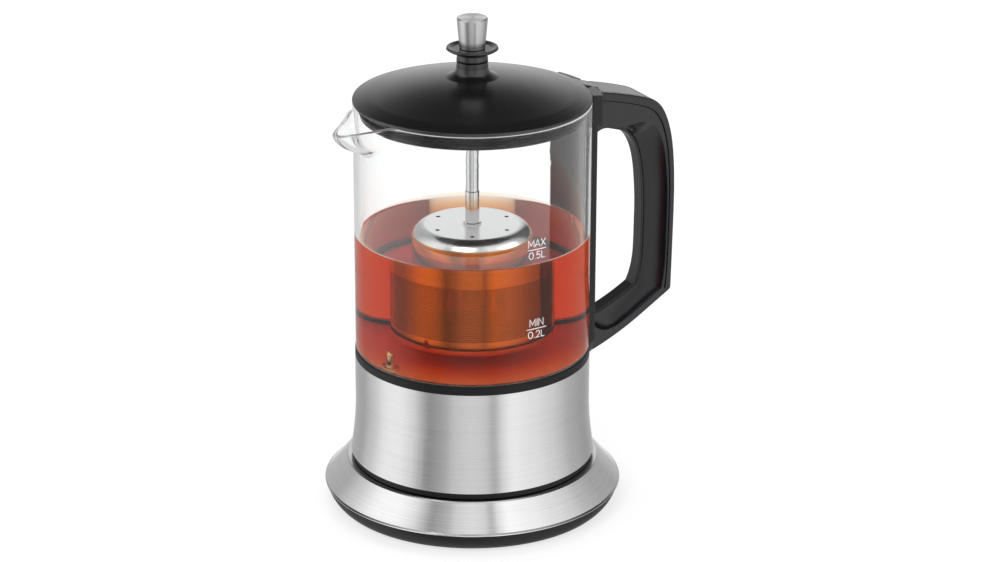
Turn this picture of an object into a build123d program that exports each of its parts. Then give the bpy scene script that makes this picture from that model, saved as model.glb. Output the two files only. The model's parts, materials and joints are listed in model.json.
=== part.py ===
"""Automatic tea maker: a glass jug with a heated steel foot on a 360 degree power base,
and a lid that carries a tea basket on a rod. Millimetres, +Z up, origin on the jug's axis
at the table, handle towards +X, pouring lip towards -X."""
from build123d import *
from math import cos, sin, radians, degrees, asin, sqrt
import os

# ---- clearances ----
REST_GAP = 0.3            # between pieces that lift off each other
SLIDE_GAP = 0.3           # round a button in its pocket
ROD_GAP = 0.05            # radial, rod in its bush
FIT_GAP = 0.05            # radial, between pieces fastened together
PIN_GAP = 0.45            # connector pins in their slots
SCREW_GAP = 0.2           # radial, a screw's shank in its clearance hole
SCREW_ROOM = 0.3          # radial, a screw's head in its recess
CUT = 1.0                 # how far a cutting shape stands out of its piece

# ---- sheet and screws ----
SHEET = 0.8               # steel sheet
SCREW_R = 1.6
SCREW_HEAD_R = 3.0
SCREW_HEAD = 1.8
RECESS_LENGTH = 3.2       # cross recess in a screw's head
RECESS_WIDTH = 0.7
RECESS_DEPTH = 0.8

# ---- glass: the other round pieces take their size from it ----
GLASS_R = 53.0
GLASS_WALL = 2.3
GLASS_HEIGHT = 114.5
BEAK_REACH = 16.5
BEAK_HEIGHT = 19.0        # from its root to the rim
BEAK_DROP = 7.1           # fall of the rim at the tip
BEAK_HALF_DEG = 23.0
BEAK_FLOOR = 1.3          # rise of the inner skin over the outer one
SLOPE_START = 5.99        # where the rim's fall starts, inside the wall

# ---- jug foot ----
STEEL_PROUD = 0.3         # steel outside the glass
STEEL_R = GLASS_R + STEEL_PROUD   # straight part of the steel sleeve
STEEL_FLARE = 2.3         # how far the sleeve sweeps out at its foot
STEEL_BOTTOM_R = STEEL_R + STEEL_FLARE
STEEL_HEIGHT = 46.4
STEEL_SWEEP = 24.3        # height over which the sleeve sweeps in
FRAME_SPACE = 2.3         # between the sleeve and the inner frame
FRAME_R = STEEL_R - SHEET - FRAME_SPACE
FRAME_WALL = 2.0
BOSS_R = 4.2
BOSS_INSET = 5.7          # boss centres inside the frame's outer radius
BOSS_PLACE_R = FRAME_R - BOSS_INSET
BOSS_HEIGHT = 16.0
WEB_WALL = 1.8
COLLAR_PROUD = 0.2
COLLAR_R = GLASS_R + COLLAR_PROUD
COLLAR_HEIGHT = 3.4
COLLAR_LEDGE = 1.3        # width of the collar's rim round the plate
COLLAR_SPIGOT = 6.0
SEAL_HEIGHT = 1.0
SEAL_LIP = 1.0            # how far the seal stands in from the glass
PLATE_THICKNESS = 0.8
SPREADER_INSET = 10.2     # spreader inside the frame
SPREADER_R = FRAME_R - SPREADER_INSET
SPREADER_THICKNESS = 2.0
ELEMENT_INSET = 9.0       # middle of the element's tube inside the spreader
ELEMENT_R = SPREADER_R - ELEMENT_INSET
ELEMENT_TUBE_R = 3.3
ELEMENT_GAP_DEG = 60.0
COLD_END_R = 2.0
COLD_END = 11.0           # length of the element's ends below its loop
CAP_STEP = 0.4            # cap's black ring above the flare
CAP_RING_HEIGHT = 2.7
CAP_INSET = 0.6           # cap's ring inside the sleeve's foot
CAP_TAPER = 0.4
CAP_SPIGOT = 4.0          # height of the cap's rim inside the sleeve
CAP_SPIGOT_GAP = 0.35     # inside the sleeve
CAP_SPIGOT_WALL = 1.5
CAP_SPIGOT_LEAN = 0.75
CAP_WALL = 2.2
CAP_BORE = 2.0            # cap's opening, outside the cone
LOW_HEAD_SINK = 0.1
JUG_SCREW = 12.0
JUG_SCREW_HEAD = 0.9

# ---- power base ----
FOOT_HEIGHT = 1.5         # foot ring below the tray
FOOT_WIDTH = 5.0
FOOT_SINK = 0.8           # depth of the foot ring's groove
BASE_MARGIN = 1.8         # base's top outside the sleeve's foot
FLARE_TOP_R = STEEL_BOTTOM_R + BASE_MARGIN
FLARE_SPREAD = 10.4       # how far the flare widens downwards
FLARE_R = FLARE_TOP_R + FLARE_SPREAD
FLARE_HEIGHT = 12.1
FLARE_LIP = 3.0           # turned-in lip at the top of the flare
LIP_ROUND = 0.4
TRAY_INSET = 0.6          # tray inside the flare's lower edge
TRAY_TOP_R = FLARE_R - TRAY_INSET
TRAY_SWEEP = 4.6          # how far the tray's side curves in downwards
TRAY_BOTTOM_R = TRAY_TOP_R - TRAY_SWEEP
TRAY_HEIGHT = 8.0
TRAY_WALL = 2.2
FOOT_INSET = 6.6
FOOT_R = TRAY_BOTTOM_R - FOOT_INSET
CAP_FOOT_GAP = 1.4        # between the cap's foot and the flare's lip
CAP_FOOT_R = FLARE_TOP_R - FLARE_LIP - CAP_FOOT_GAP
DECK_WALL = 2.2
BASE_SCREWS = 3
BASE_SCREW_INSET = 12.4   # screws inside the flare's upper radius
BASE_SCREW_R = FLARE_TOP_R - BASE_SCREW_INSET
BASE_SCREW_TURN_DEG = 30.0
BASE_SCREW_ROOM = 4.0     # screw's end below the deck
SCREW_POST_WALL = 2.0
HEAD_SINK = 0.6           # screw heads inside their recesses
POST_ROOF = 1.4           # tray's post above the screw's head recess
SOCKET_R = 17.0
SOCKET_BEVEL = 2.2
SOCKET_BEVEL_HEIGHT = 2.6
SOCKET_HEIGHT = 10.5      # above the deck
SOCKET_FLANGE_WIDTH = 6.0
SOCKET_FLANGE_R = SOCKET_R + SOCKET_FLANGE_WIDTH
SOCKET_FLANGE = 2.0
CONE_PLACE = 4.0          # locating cone outside the socket's flange
CONE_BOTTOM_R = SOCKET_FLANGE_R + CONE_PLACE
CONE_TAPER = 2.5
CONE_TOP_R = CONE_BOTTOM_R - CONE_TAPER
CONE_HEIGHT = 5.0
CONE_ROUND = 0.5
PIN_R = 2.2               # centre pin of the jug's plug
INNER_RING_R = 6.4        # outer radius of the live ring
RING_SPACE = 5.0
OUTER_RING_R = INNER_RING_R + RING_SPACE
RING_WALL = 0.9
PIN_DEPTH = 8.0           # how far the pins reach into the socket
CONTACT_INSET = 0.2       # centre contact inside the pin's radius
SLOT_FLOOR = 1.0          # contact and gap below a pin's tip
BUSH_UNDER = 1.9          # from the tray's underside to the cable bore
BUSH_OVER = 0.9           # from the cable bore to the tray's top
BUSH_BORE_R = (TRAY_HEIGHT - BUSH_UNDER - BUSH_OVER) / 2
BUSH_WALL = 0.7
BUSH_FLANGE = 1.2
BUSH_FLANGE_WIDTH = 1.5
BUSH_SINK = 0.4           # bush's face inside the tray's side
BUSH_ROOM = 0.15          # between the flange's corners and the tray's wall
BUSH_MARGIN = 0.3         # beside the flange, in the deck's skirt

# ---- connector and control ----
CONTROL_MARGIN = 5.5      # control's body outside the socket
CONTROL_R = SOCKET_R + CONTROL_MARGIN
CONTROL_FLANGE_WIDTH = 6.0
CONTROL_WALL = 2.2
CONTROL_HEIGHT = 22.0
CONTROL_ROOM = 0.6        # between the cone's top and the control
CONTROL_ROOF_ROOM = 3.0
WELL_GAP = 1.0            # radial, round the socket
POST_R = 2.4
POST_INSET = 6.0
CUTOUT_R = 6.5            # bimetal cut-outs
CUTOUT_THICKNESS = 1.6
CUTOUT_MARGIN = 2.2       # to the heating element
CUTOUT_SPACE = 6.0        # between the two cut-outs
CUTOUT_PLACE = ELEMENT_R - ELEMENT_TUBE_R - CUTOUT_R - CUTOUT_MARGIN
BOARD_SIZE = (34.0, 28.0, 1.6)
PEG_R = 1.6
PEG_HEIGHT = 5.0
PEG_INSET = 3.0
RELAY_SIZE = (12.0, 10.0, 7.0)
PROBE_INSET = 9.7         # probe's centre inside the glass
PROBE_PLACE = (-(GLASS_R - GLASS_WALL - PROBE_INSET), -7.0)
PROBE_R = 2.0
PROBE_HEIGHT = 8.6
PROBE_TAIL = 6.0          # below the spreader
PROBE_FLANGE_R = 4.2
PROBE_FLANGE = 1.2
PROBE_NUT_R = 5.0
PROBE_NUT = 4.0
NUT_ROOM = 1.0            # round the nut, in the spreader

# ---- handle ----
HANDLE_REACH = 46.0       # outermost point, from the glass
HANDLE_HALF = 11.0        # half the width over the cover
BODY_INSET = 0.4          # handle's body inside its cover, on each side
CORE_HALF = 3.5           # half the width of the inner edge
CREST_HALF = 6.2
COVER_SHARE = 0.2         # share of the section that the cover takes
ARM_SHARE = 0.26          # share of the arm's section that is a full-width band
LINER_SHARE = 0.08
SEAM_SHARE = 0.012        # share left open at a seam
LINER_START = 15.0        # from the glass, under the head
COVER_ROUND = 1.2
CORNER_ROUND = 2.1        # length of the rounding where the grip meets the lower arm
STRIP_HALF_DEG = 18.5
STRIP_THICKNESS = 3.1
PAD_THICKNESS = 0.5
PAD_FOOT = 3.0            # pad's ends inside the glass and the head
PAD_HEAD = 8.0
HEAD_DEPTH = 5.6          # head's own wall, outside the glass
HEAD_R = GLASS_R + HEAD_DEPTH
HEAD_HALF_DEG = 20.0
HEAD_HEIGHT = 14.0
HEAD_GAP = 0.8            # head to lid rim
HEAD_STEP = 0.5
LID_PROUD = 0.1
LID_R = GLASS_R + LID_PROUD
HEAD_FACE_R = LID_R + HEAD_GAP
STRIP_DROP = 4.0          # strip's top below the head
FOOT_OVERLAP = 6.6        # how far the handle's foot covers the steel
FOOT_TAPER = 10.0
FOOT_SCREW_RISE = 4.0
HANDLE_SCREW_SPREAD = 8.0
THROUGH = 10.0            # half length of a bore through the sleeve or the frame
HANDLE_SCREW_DEPTH = 7.0  # into the handle's foot, from the glass
BUTTON_START = 8.6        # from the glass
BUTTON_END = 31.0
BUTTON_HALF = 8.6
BUTTON_THICKNESS = 2.2
BUTTON_TRAVEL = 2.0
BUTTON_ROOM = 1.2         # left under the button at the end of its travel
NOSE_HALF = 3.0           # half the width of the button's nose
NOTCH_ROOM = 0.8          # under the lid's tab
NOSE_ROOM = 1.0           # under the nose
NOSE_INSET = 0.6          # nose's top inside the button's
NOSE_DROP = 4.4           # nose's lower edge below the head
LEAF = 0.4                # leaf spring thickness
LEAF_HALF = 3.0
LEAF_FOOT = 1.2
LEAF_GAP = 0.2            # between the spring and the button
LEAF_ROOM = 1.4           # under the pressed button, for the flattened spring
SPRING_PLACE = 7.0        # spring's centre behind the button's front edge
SPRING_HALF = 4.5
WELL_MARGIN = 0.5

# ---- power button ----
POWER_R = 6.0
POWER_DROP = 27.0         # below the sleeve's top edge
POWER_TRAVEL = 1.5
POWER_PROUD = 0.8
POWER_DEPTH = 6.5         # collar of the button, inside the sleeve
POWER_COLLAR = 1.4
POWER_COLLAR_WIDTH = 1.3
POWER_EDGE = 0.6
DISH_R = 25.0
DISH_DEPTH = 0.6
BEZEL_WALL = 1.2
BEZEL_WIDTH = 2.2
BEZEL_PROUD = 0.9
BEZEL_DEPTH = 3.0
BEZEL_STOP = 1.8          # from the button's back to the bezel's inner end
SWITCH_SIZE = (7.0, 10.0, 11.0)
SWITCH_PIN_R = 1.2
SWITCH_PIN = 0.8
SHELF = 2.0
SHELF_MARGIN = 1.5
SHELF_TAIL = 1.0
POWER_ROOM = 3.2          # round the button, in the frame
POWER_INNER_ROOM = 2.2    # round the button, in the shelves

# ---- lid ----
LID_EDGE = 1.6            # height of the rounded edge
LID_EDGE_ROUND = 0.5
LID_SLOPE = 1.6           # from that flat to the crease
LID_FLANGE = 6.6          # from the edge to the dome's crease
LID_CREST_R = LID_R - LID_FLANGE
LID_CREST_RISE = 3.6      # above the lid's lower edge
LID_TOP_RISE = 11.2       # at the foot of the neck
LID_WALL = 2.2
NECK_R = 7.0
NECK_SWEEP = 4.8
NECK_FOOT_R = NECK_R + NECK_SWEEP
NECK_HEIGHT = 7.0
SKIRT_GAP = 0.9           # radial, between the plug and the glass
SKIRT_R = GLASS_R - GLASS_WALL - SKIRT_GAP
SKIRT_WALL = 1.6
SKIRT_DEPTH = 6.6
SKIRT_ROUND = 0.45
SEAL_PROUD = 0.6          # how far the seal stands out of the skirt
SEAL_GROOVE = 0.8
SEAL_RISE = 2.0
SEAL_WIDTH = 2.2
SEAL_CREST = 0.6          # flat of the seal's lip
INNER_PLATE = 1.6
PLATE_BORE = 1.2          # radial, between the plug's plate and the rod
GUIDE_WALL = 1.5
BUSH_FOOT = 2.0
BUSH_DROP = 0.4           # bush's top inside the neck
TAB_HALF = 5.6
TAB_THICKNESS = 3.0
TAB_FALL = 1.3            # of its outer end, below the lid's lower edge
TAB_REACH = 7.6
TAB_GAP = 0.6             # beside the tab
NOTCH_HALF = TAB_HALF + TAB_GAP
STEAM_HOLES = 5
STEAM_HOLE_R = 2.0
STEAM_PLACE_R = 10.0
LID_SCREWS = 3
LID_SCREW_INSET = 29.1
LID_SCREW_PLACE_R = LID_R - LID_SCREW_INSET
LID_SCREW = 8.0
LID_SCREW_BORE = 6.0      # above the lid's lower edge
LID_BOSS_R = 3.2
LID_BOSS_DROP = 1.0       # boss's top below the neck's foot
LID_SCREW_TURN_DEG = 60.0

# ---- plunger and basket ----
ROD_R = 2.83
SLEEVE_WALL = 0.32
SLEEVE_R = ROD_R + SLEEVE_WALL
SLEEVE_LENGTH = 14.6
SLEEVE_BEVEL = 0.2
PULL_NECK_HEIGHT = 4.6
PULL_R = 11.6
PULL_DISH = 0.7
PULL_EDGE = 1.6
PULL_SEAT = 2.4           # flat round the knob
KNOB_HEIGHT = 14.0
KNOB_BOTTOM_R = 5.75
KNOB_TOP_R = 6.9
KNOB_BEVEL = 0.5
KNOB_ROUND = 0.3
KNOB_BORE = 8.0
ROD_END_GAP = 0.2         # rod's end in the knob
BASKET_R = 27.0
BASKET_HEIGHT = 43.3
BASKET_WALL = 0.6
BASKET_CORNER = 3.5
BASKET_CLEARANCE = 6.8    # above the jug's floor
DISC_PROUD = 0.2          # lid's edge outside the basket
DISC_EDGE_R = BASKET_R + DISC_PROUD
DISC_SHOULDER = 5.7
DISC_TOP_R = DISC_EDGE_R - DISC_SHOULDER
DISC_HEIGHT = 8.3
DISC_EDGE = 1.2           # straight edge under the shoulder
DISC_BULGE = 1.2          # how far the shoulder's middle lies inside its edge
DISC_HOLES = 6
DISC_HOLE_R = 1.0
DISC_HOLE_INSET = 3.7
DISC_HOLE_PLACE_R = DISC_TOP_R - DISC_HOLE_INSET
DISC_HOLE_TURN_DEG = 2.5
STEM_FLANGE_WIDTH = 0.91
STEM_FLANGE_R = SLEEVE_R + STEM_FLANGE_WIDTH
STEM_FLANGE = 1.1
STEM_ROUND = 0.3
NUT_WIDTH = 2.17
NUT_R = ROD_R + NUT_WIDTH
NUT = 2.4
NUT_PROUD = 2.0           # rod below the nut
LUGS = 3
LUG_R = 1.0
LUG_SLOT = 1.5            # half the width of a bayonet slot
LUG_SLOT_DEG = 3.5
LUG_TURN_DEG = 30.0
LUG_DROP = 3.0            # below the basket's rim
BAYONET_DEPTH = 6.2
BAYONET_GAP = 0.35        # radial, between the lid's skirt and the basket

# ---- heights ----
Z_TRAY = FOOT_HEIGHT
Z_TRAY_TOP = Z_TRAY + TRAY_HEIGHT
Z_FLARE_TOP = Z_TRAY_TOP + FLARE_HEIGHT
Z_DECK = Z_FLARE_TOP - SHEET
Z_SOCKET_TOP = Z_DECK + SOCKET_HEIGHT
Z_CAP = Z_DECK + REST_GAP
Z_CAP_RING = Z_FLARE_TOP + CAP_STEP
Z_STEEL = Z_CAP_RING + CAP_RING_HEIGHT
Z_CAP_FLOOR = Z_CAP + CAP_WALL
Z_COLLAR = Z_STEEL + STEEL_HEIGHT
Z_COLLAR_TOP = Z_COLLAR + COLLAR_HEIGHT
Z_GLASS = Z_COLLAR_TOP + SEAL_HEIGHT
Z_FLOOR = Z_COLLAR_TOP - SEAL_HEIGHT * 0.4
Z_PLATE = Z_FLOOR - PLATE_THICKNESS
Z_SPREADER = Z_PLATE - SPREADER_THICKNESS
Z_RIM = Z_GLASS + GLASS_HEIGHT
Z_LID = Z_RIM + REST_GAP
Z_LID_TOP = Z_LID + LID_TOP_RISE
Z_NECK_TOP = Z_LID_TOP + NECK_HEIGHT
Z_PULL = Z_NECK_TOP + REST_GAP
Z_PULL_TOP = Z_PULL + PULL_NECK_HEIGHT + PULL_EDGE
Z_KNOB_TOP = Z_PULL_TOP - PULL_DISH + KNOB_HEIGHT
Z_BASKET = Z_FLOOR + BASKET_CLEARANCE
Z_BASKET_RIM = Z_BASKET + BASKET_HEIGHT
Z_DISC = Z_BASKET_RIM + REST_GAP
Z_DISC_TOP = Z_DISC + DISC_HEIGHT
Z_SLEEVE_TOP = Z_DISC_TOP + STEM_FLANGE + SLEEVE_LENGTH
Z_HANDLE_FOOT = Z_COLLAR - FOOT_OVERLAP
Z_HANDLE_SCREW = Z_HANDLE_FOOT + FOOT_SCREW_RISE
Z_HEAD = Z_RIM
Z_POWER = Z_COLLAR - POWER_DROP

# The handle's section runs between an outer and an inner outline. Each row is one station:
# outer point, inner point, and the share of the section that is filled at the crest and at the
# edge of its width. A point is a share of the reach and a height under the head (upper rows)
# or over the foot (lower rows).
UPPER = [
    ((0.087, 1.7), (0.087, 22.8), 1.00, 1.00),
    ((0.174, 2.3), (0.174, 20.6), 1.00, 1.00),
    ((0.326, 3.7), (0.326, 22.1), 0.98, 0.97),
    ((0.598, 7.0), (0.500, 25.0), 0.94, 0.74),
    ((0.783, 10.7), (0.598, 30.0), 0.82, 0.50),
    ((0.915, 20.7), (0.667, 38.5), 0.70, 0.38),
    ((0.983, 37.0), (0.702, 50.0), 0.62, 0.33),
    ((1.000, 52.0), (0.715, 60.0), 0.58, 0.31),
]
LOWER = [
    ((0.996, 50.4), (0.713, 49.4), 0.58, 0.31),
    ((0.989, 34.4), (0.696, 35.4), 0.58, 0.31),
    ((0.983, 23.2), (0.630, 25.5), 0.60, 0.34),
]
ARM = [
    LOWER[-1],
    ((0.724, 15.6), (0.533, 22.8), 0.56, 0.32),
    ((0.500, 9.2), (0.370, 18.9), 0.56, 0.32),
    ((0.283, 4.0), (0.195, 15.5), 0.66, 0.42),
    ((0.083, 0.0), (0.087, 13.7), 1.00, 1.00),
]
# Beak of the glass: share of the height, share of the reach, share of the half angle.
BEAK_RISE = [(0.0, 0.0, 0.35), (0.09, 0.05, 0.40), (0.22, 0.33, 0.56), (0.37, 0.64, 0.74),
             (0.53, 0.83, 0.85), (0.69, 0.92, 0.92), (1.03, 1.0, 1.0)]
# Plan of the beak: share of the half angle, share of the reach.
BEAK_PLAN = [(0.8, 0.07), (0.55, 0.33), (0.3, 0.66), (0.12, 0.92), (0.0, 1.0)]


# ---- shared shapes ----
def turned(*points):
    """A solid turned about Z from (radius, height) corners."""
    return revolve(make_face(Plane.XZ * Polyline(*points, close=True)), Axis.Z)


def disc(radius, bottom, top, x=0.0, y=0.0):
    """An upright round post."""
    place = Pos(x, y, bottom)
    return place * Cylinder(radius, top - bottom, align=(Align.CENTER, Align.CENTER, Align.MIN))


def tube(outer, inner, bottom, top):
    return turned((inner, bottom), (outer, bottom), (outer, top), (inner, top))


def along_x(radius, start, end, y=0.0, z=0.0):
    """A round bar along X."""
    bar = Cylinder(radius, end - start, align=(Align.CENTER, Align.CENTER, Align.MIN))
    return Pos(start, y, z) * Rot(0, 90, 0) * bar


def block(x, y, z):
    """A box between pairs of limits."""
    size = Box(x[1] - x[0], y[1] - y[0], z[1] - z[0], align=(Align.MIN, Align.MIN, Align.MIN))
    return Pos(x[0], y[0], z[0]) * size


def round_places(count, radius, start=0.0):
    """Points evenly round the axis."""
    angles = [radians(start + 360.0 * i / count) for i in range(count)]
    return [(radius * cos(a), radius * sin(a)) for a in angles]


def sector(outer, inner, bottom, top, half_deg):
    """Part of a tube, half_deg to each side of +X."""
    arc = revolve(
        make_face(Plane.XZ * Polyline(
            (inner, bottom), (outer, bottom), (outer, top), (inner, top), close=True)), Axis.Z, 2 * half_deg)
    return Rot(0, 0, -half_deg) * arc


def screw(x, y, head_bottom, length):
    """A pan-head screw that points up, with a plain shank and a cross recess."""
    head = disc(SCREW_HEAD_R, head_bottom, head_bottom + SCREW_HEAD, x, y)
    shank = disc(SCREW_R, head_bottom + SCREW_HEAD, head_bottom + length, x, y)
    slot = Box(RECESS_LENGTH, RECESS_WIDTH, RECESS_DEPTH * 2)
    recess = Pos(x, y, head_bottom) * (slot + Rot(0, 0, 90) * slot)
    return head + shank - recess


# ---- power base ----
FOOT_SEAT = Z_TRAY + FOOT_SINK
BOSS_FLOOR = Z_TRAY + SCREW_HEAD + HEAD_SINK
BUSH_Z = Z_TRAY + BUSH_UNDER + BUSH_BORE_R
BUSH_HALF = BUSH_BORE_R + BUSH_WALL
BUSH_FLANGE_HALF = BUSH_HALF + BUSH_FLANGE_WIDTH
BUSH_INNER = sqrt((TRAY_BOTTOM_R - TRAY_WALL - BUSH_ROOM) ** 2 - BUSH_FLANGE_HALF ** 2)


def tray_r(z):
    """Outer radius of the tray at a height."""
    share = (z - Z_TRAY) / TRAY_HEIGHT
    return TRAY_BOTTOM_R + (TRAY_TOP_R - TRAY_BOTTOM_R) * sin(radians(90 * share))


def foot_ring():
    return tube(FOOT_R, FOOT_R - FOOT_WIDTH, 0, FOOT_SEAT)


def base_tray():
    middle = Z_TRAY + TRAY_HEIGHT / 2
    floor = Z_TRAY + TRAY_WALL
    side = ThreePointArc((TRAY_BOTTOM_R, Z_TRAY), (tray_r(middle), middle), (TRAY_TOP_R, Z_TRAY_TOP))
    inside = ThreePointArc(
        (TRAY_TOP_R - TRAY_WALL, Z_TRAY_TOP), (tray_r(middle) - TRAY_WALL, middle + TRAY_WALL / 2),
        (TRAY_BOTTOM_R - TRAY_WALL, floor))
    outline = [
        Line((0, Z_TRAY), (TRAY_BOTTOM_R, Z_TRAY)), side,
        Line((TRAY_TOP_R, Z_TRAY_TOP), (TRAY_TOP_R - TRAY_WALL, Z_TRAY_TOP)), inside,
        Line((TRAY_BOTTOM_R - TRAY_WALL, floor), (0, floor)), Line((0, floor), (0, Z_TRAY))]
    tray = revolve(make_face([Plane.XZ * edge for edge in outline]), Axis.Z)
    tray -= tube(FOOT_R + FIT_GAP, FOOT_R - FOOT_WIDTH - FIT_GAP, Z_TRAY - CUT, FOOT_SEAT)
    for x, y in base_screw_places():
        tray += disc(SCREW_HEAD_R + SCREW_POST_WALL, Z_TRAY, BOSS_FLOOR + POST_ROOF, x, y)
        tray -= disc(SCREW_HEAD_R + SCREW_ROOM, Z_TRAY - CUT, BOSS_FLOOR, x, y)
        tray -= disc(SCREW_R + SCREW_GAP, Z_TRAY, BOSS_FLOOR + POST_ROOF + CUT, x, y)
    half = BUSH_HALF + FIT_GAP
    return tray - block((-half, half), (BUSH_INNER, TRAY_TOP_R + CUT), (BUSH_Z - half, Z_TRAY_TOP + CUT))


def base_screw_places():
    return round_places(BASE_SCREWS, BASE_SCREW_R, BASE_SCREW_TURN_DEG)


def base_trim():
    """The steel flare: a cone of sheet with a turned-in lip and a hemmed lower edge."""
    slope = (FLARE_R - FLARE_TOP_R) / FLARE_HEIGHT
    across = SHEET * sqrt(1 + slope * slope)
    hem = SHEET * 1.2
    flare = turned(
        (FLARE_R - across, Z_TRAY_TOP), (FLARE_R - 0.2, Z_TRAY_TOP), (FLARE_R, Z_TRAY_TOP + hem / 2),
        (FLARE_R - slope * hem, Z_TRAY_TOP + hem),
        (FLARE_TOP_R + LIP_ROUND * 0.75, Z_FLARE_TOP - LIP_ROUND * 0.87),
        (FLARE_TOP_R - LIP_ROUND, Z_FLARE_TOP), (FLARE_TOP_R - FLARE_LIP, Z_FLARE_TOP),
        (FLARE_TOP_R - FLARE_LIP, Z_DECK), (FLARE_TOP_R - across * 0.8, Z_DECK))
    return flare


def base_deck():
    rim = FLARE_TOP_R - SHEET * 2
    floor = Z_TRAY + TRAY_WALL
    under = Z_DECK - DECK_WALL
    deck = turned(
        (0, under), (rim - DECK_WALL, under), (rim - DECK_WALL, floor), (rim, floor), (rim, Z_DECK),
        (0, Z_DECK))
    deck -= disc(SOCKET_R + FIT_GAP, under - CUT, Z_DECK + CUT)
    half = BUSH_FLANGE_HALF + BUSH_MARGIN
    deck -= block((-half, half), (rim - DECK_WALL - CUT, rim + CUT), (floor - CUT, Z_TRAY_TOP + BUSH_MARGIN))
    for x, y in base_screw_places():
        deck += disc(BOSS_R, BOSS_FLOOR + POST_ROOF, under, x, y)
        deck -= disc(SCREW_R + FIT_GAP, BOSS_FLOOR, under - CUT, x, y)
    return deck


def socket_collar():
    """The tapered ring round the socket, which centres the jug."""
    top = Z_DECK + CONE_HEIGHT
    return turned(
        (CONE_TOP_R - DECK_WALL, Z_DECK), (CONE_BOTTOM_R, Z_DECK),
        (CONE_TOP_R + CONE_ROUND * 0.8, top - CONE_ROUND), (CONE_TOP_R, top),
        (CONE_TOP_R - DECK_WALL, top))


def base_screws():
    length = Z_DECK - DECK_WALL - Z_TRAY - BASE_SCREW_ROOM
    return [screw(x, y, Z_TRAY + HEAD_SINK, length) for x, y in base_screw_places()]


def ring_slot(radius, depth):
    """The slot that a contact ring of the jug's plug goes into."""
    return tube(radius + PIN_GAP, radius - RING_WALL - PIN_GAP, Z_SOCKET_TOP - depth, Z_SOCKET_TOP + CUT)


def base_socket():
    """The round socket in the middle of the deck, with its centre hole and two ring slots."""
    under = Z_DECK - DECK_WALL
    body = turned(
        (0, under - SOCKET_FLANGE), (SOCKET_FLANGE_R, under - SOCKET_FLANGE), (SOCKET_FLANGE_R, under),
        (SOCKET_R, under), (SOCKET_R, Z_SOCKET_TOP - SOCKET_BEVEL_HEIGHT),
        (SOCKET_R - SOCKET_BEVEL, Z_SOCKET_TOP), (0, Z_SOCKET_TOP))
    depth = PIN_DEPTH + SLOT_FLOOR
    slots = ring_slot(INNER_RING_R, depth) + ring_slot(OUTER_RING_R, depth)
    return body - slots - disc(PIN_R + PIN_GAP, Z_SOCKET_TOP - depth - SLOT_FLOOR, Z_SOCKET_TOP + CUT)


def socket_contacts():
    """Brass contacts on the floors of the slots and of the centre hole."""
    slot_floor = Z_SOCKET_TOP - PIN_DEPTH - SLOT_FLOOR
    contact = SLOT_FLOOR - REST_GAP
    rings = [
        tube(radius + FIT_GAP, radius - RING_WALL - FIT_GAP, slot_floor, slot_floor + contact)
        for radius in (INNER_RING_R, OUTER_RING_R)]
    hole_floor = slot_floor - SLOT_FLOOR
    return rings + [disc(PIN_R - CONTACT_INSET, hole_floor, slot_floor + contact)]


def cable_bush():
    """Rubber bush in the tray's wall, bored for the mains cable."""
    outer, top = tray_r(BUSH_Z) - BUSH_SINK, Z_TRAY_TOP - FIT_GAP
    back = BUSH_INNER - BUSH_FLANGE
    bush = block((-BUSH_HALF, BUSH_HALF), (BUSH_INNER, outer), (BUSH_Z - BUSH_HALF, top))
    flange = block((-BUSH_FLANGE_HALF, BUSH_FLANGE_HALF), (back, BUSH_INNER), (Z_TRAY + TRAY_WALL, top))
    bore = Pos(0, (outer + back) / 2, BUSH_Z) * Rot(90, 0, 0) * Cylinder(BUSH_BORE_R, outer - back + 2 * CUT)
    return bush + flange - bore


# ---- jug foot ----
JUG_SCREW_SEAT = Z_CAP + LOW_HEAD_SINK + JUG_SCREW_HEAD


def cap_places():
    return round_places(3, BOSS_PLACE_R, 90)


def jug_cap():
    """The black cap under the steel sleeve, with the opening that the socket goes into."""
    ring = STEEL_BOTTOM_R - CAP_INSET
    outer = STEEL_BOTTOM_R - SHEET - CAP_SPIGOT_GAP
    inner = outer - CAP_SPIGOT_LEAN - CAP_SPIGOT_WALL
    top = Z_STEEL + CAP_SPIGOT
    cap = turned(
        (CONE_BOTTOM_R + CAP_BORE, Z_CAP), (CAP_FOOT_R, Z_CAP), (CAP_FOOT_R, Z_CAP_RING), (ring, Z_CAP_RING),
        (ring + CAP_TAPER, Z_STEEL), (outer, Z_STEEL), (outer - CAP_SPIGOT_LEAN, top), (inner, top),
        (inner, Z_CAP_FLOOR), (CONE_BOTTOM_R + CAP_BORE, Z_CAP_FLOOR))
    for x, y in cap_places():
        cap -= disc(SCREW_R + SCREW_GAP, Z_CAP - CUT, Z_CAP_FLOOR + CUT, x, y)
        cap -= disc(SCREW_HEAD_R + SCREW_ROOM, Z_CAP - CUT, JUG_SCREW_SEAT, x, y)
    return cap


def jug_screws():
    """Low-head screws let into the cap."""
    return [
        disc(SCREW_HEAD_R, Z_CAP + LOW_HEAD_SINK, JUG_SCREW_SEAT, x, y)
        + disc(SCREW_R, JUG_SCREW_SEAT, JUG_SCREW_SEAT + JUG_SCREW, x, y)
        for x, y in cap_places()]


def steel_r(z):
    """Outer radius of the sleeve at a height."""
    rise = (z - Z_STEEL) / STEEL_SWEEP
    return STEEL_R + (STEEL_BOTTOM_R - STEEL_R) * max(0.0, 1 - rise) ** 1.8


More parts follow.
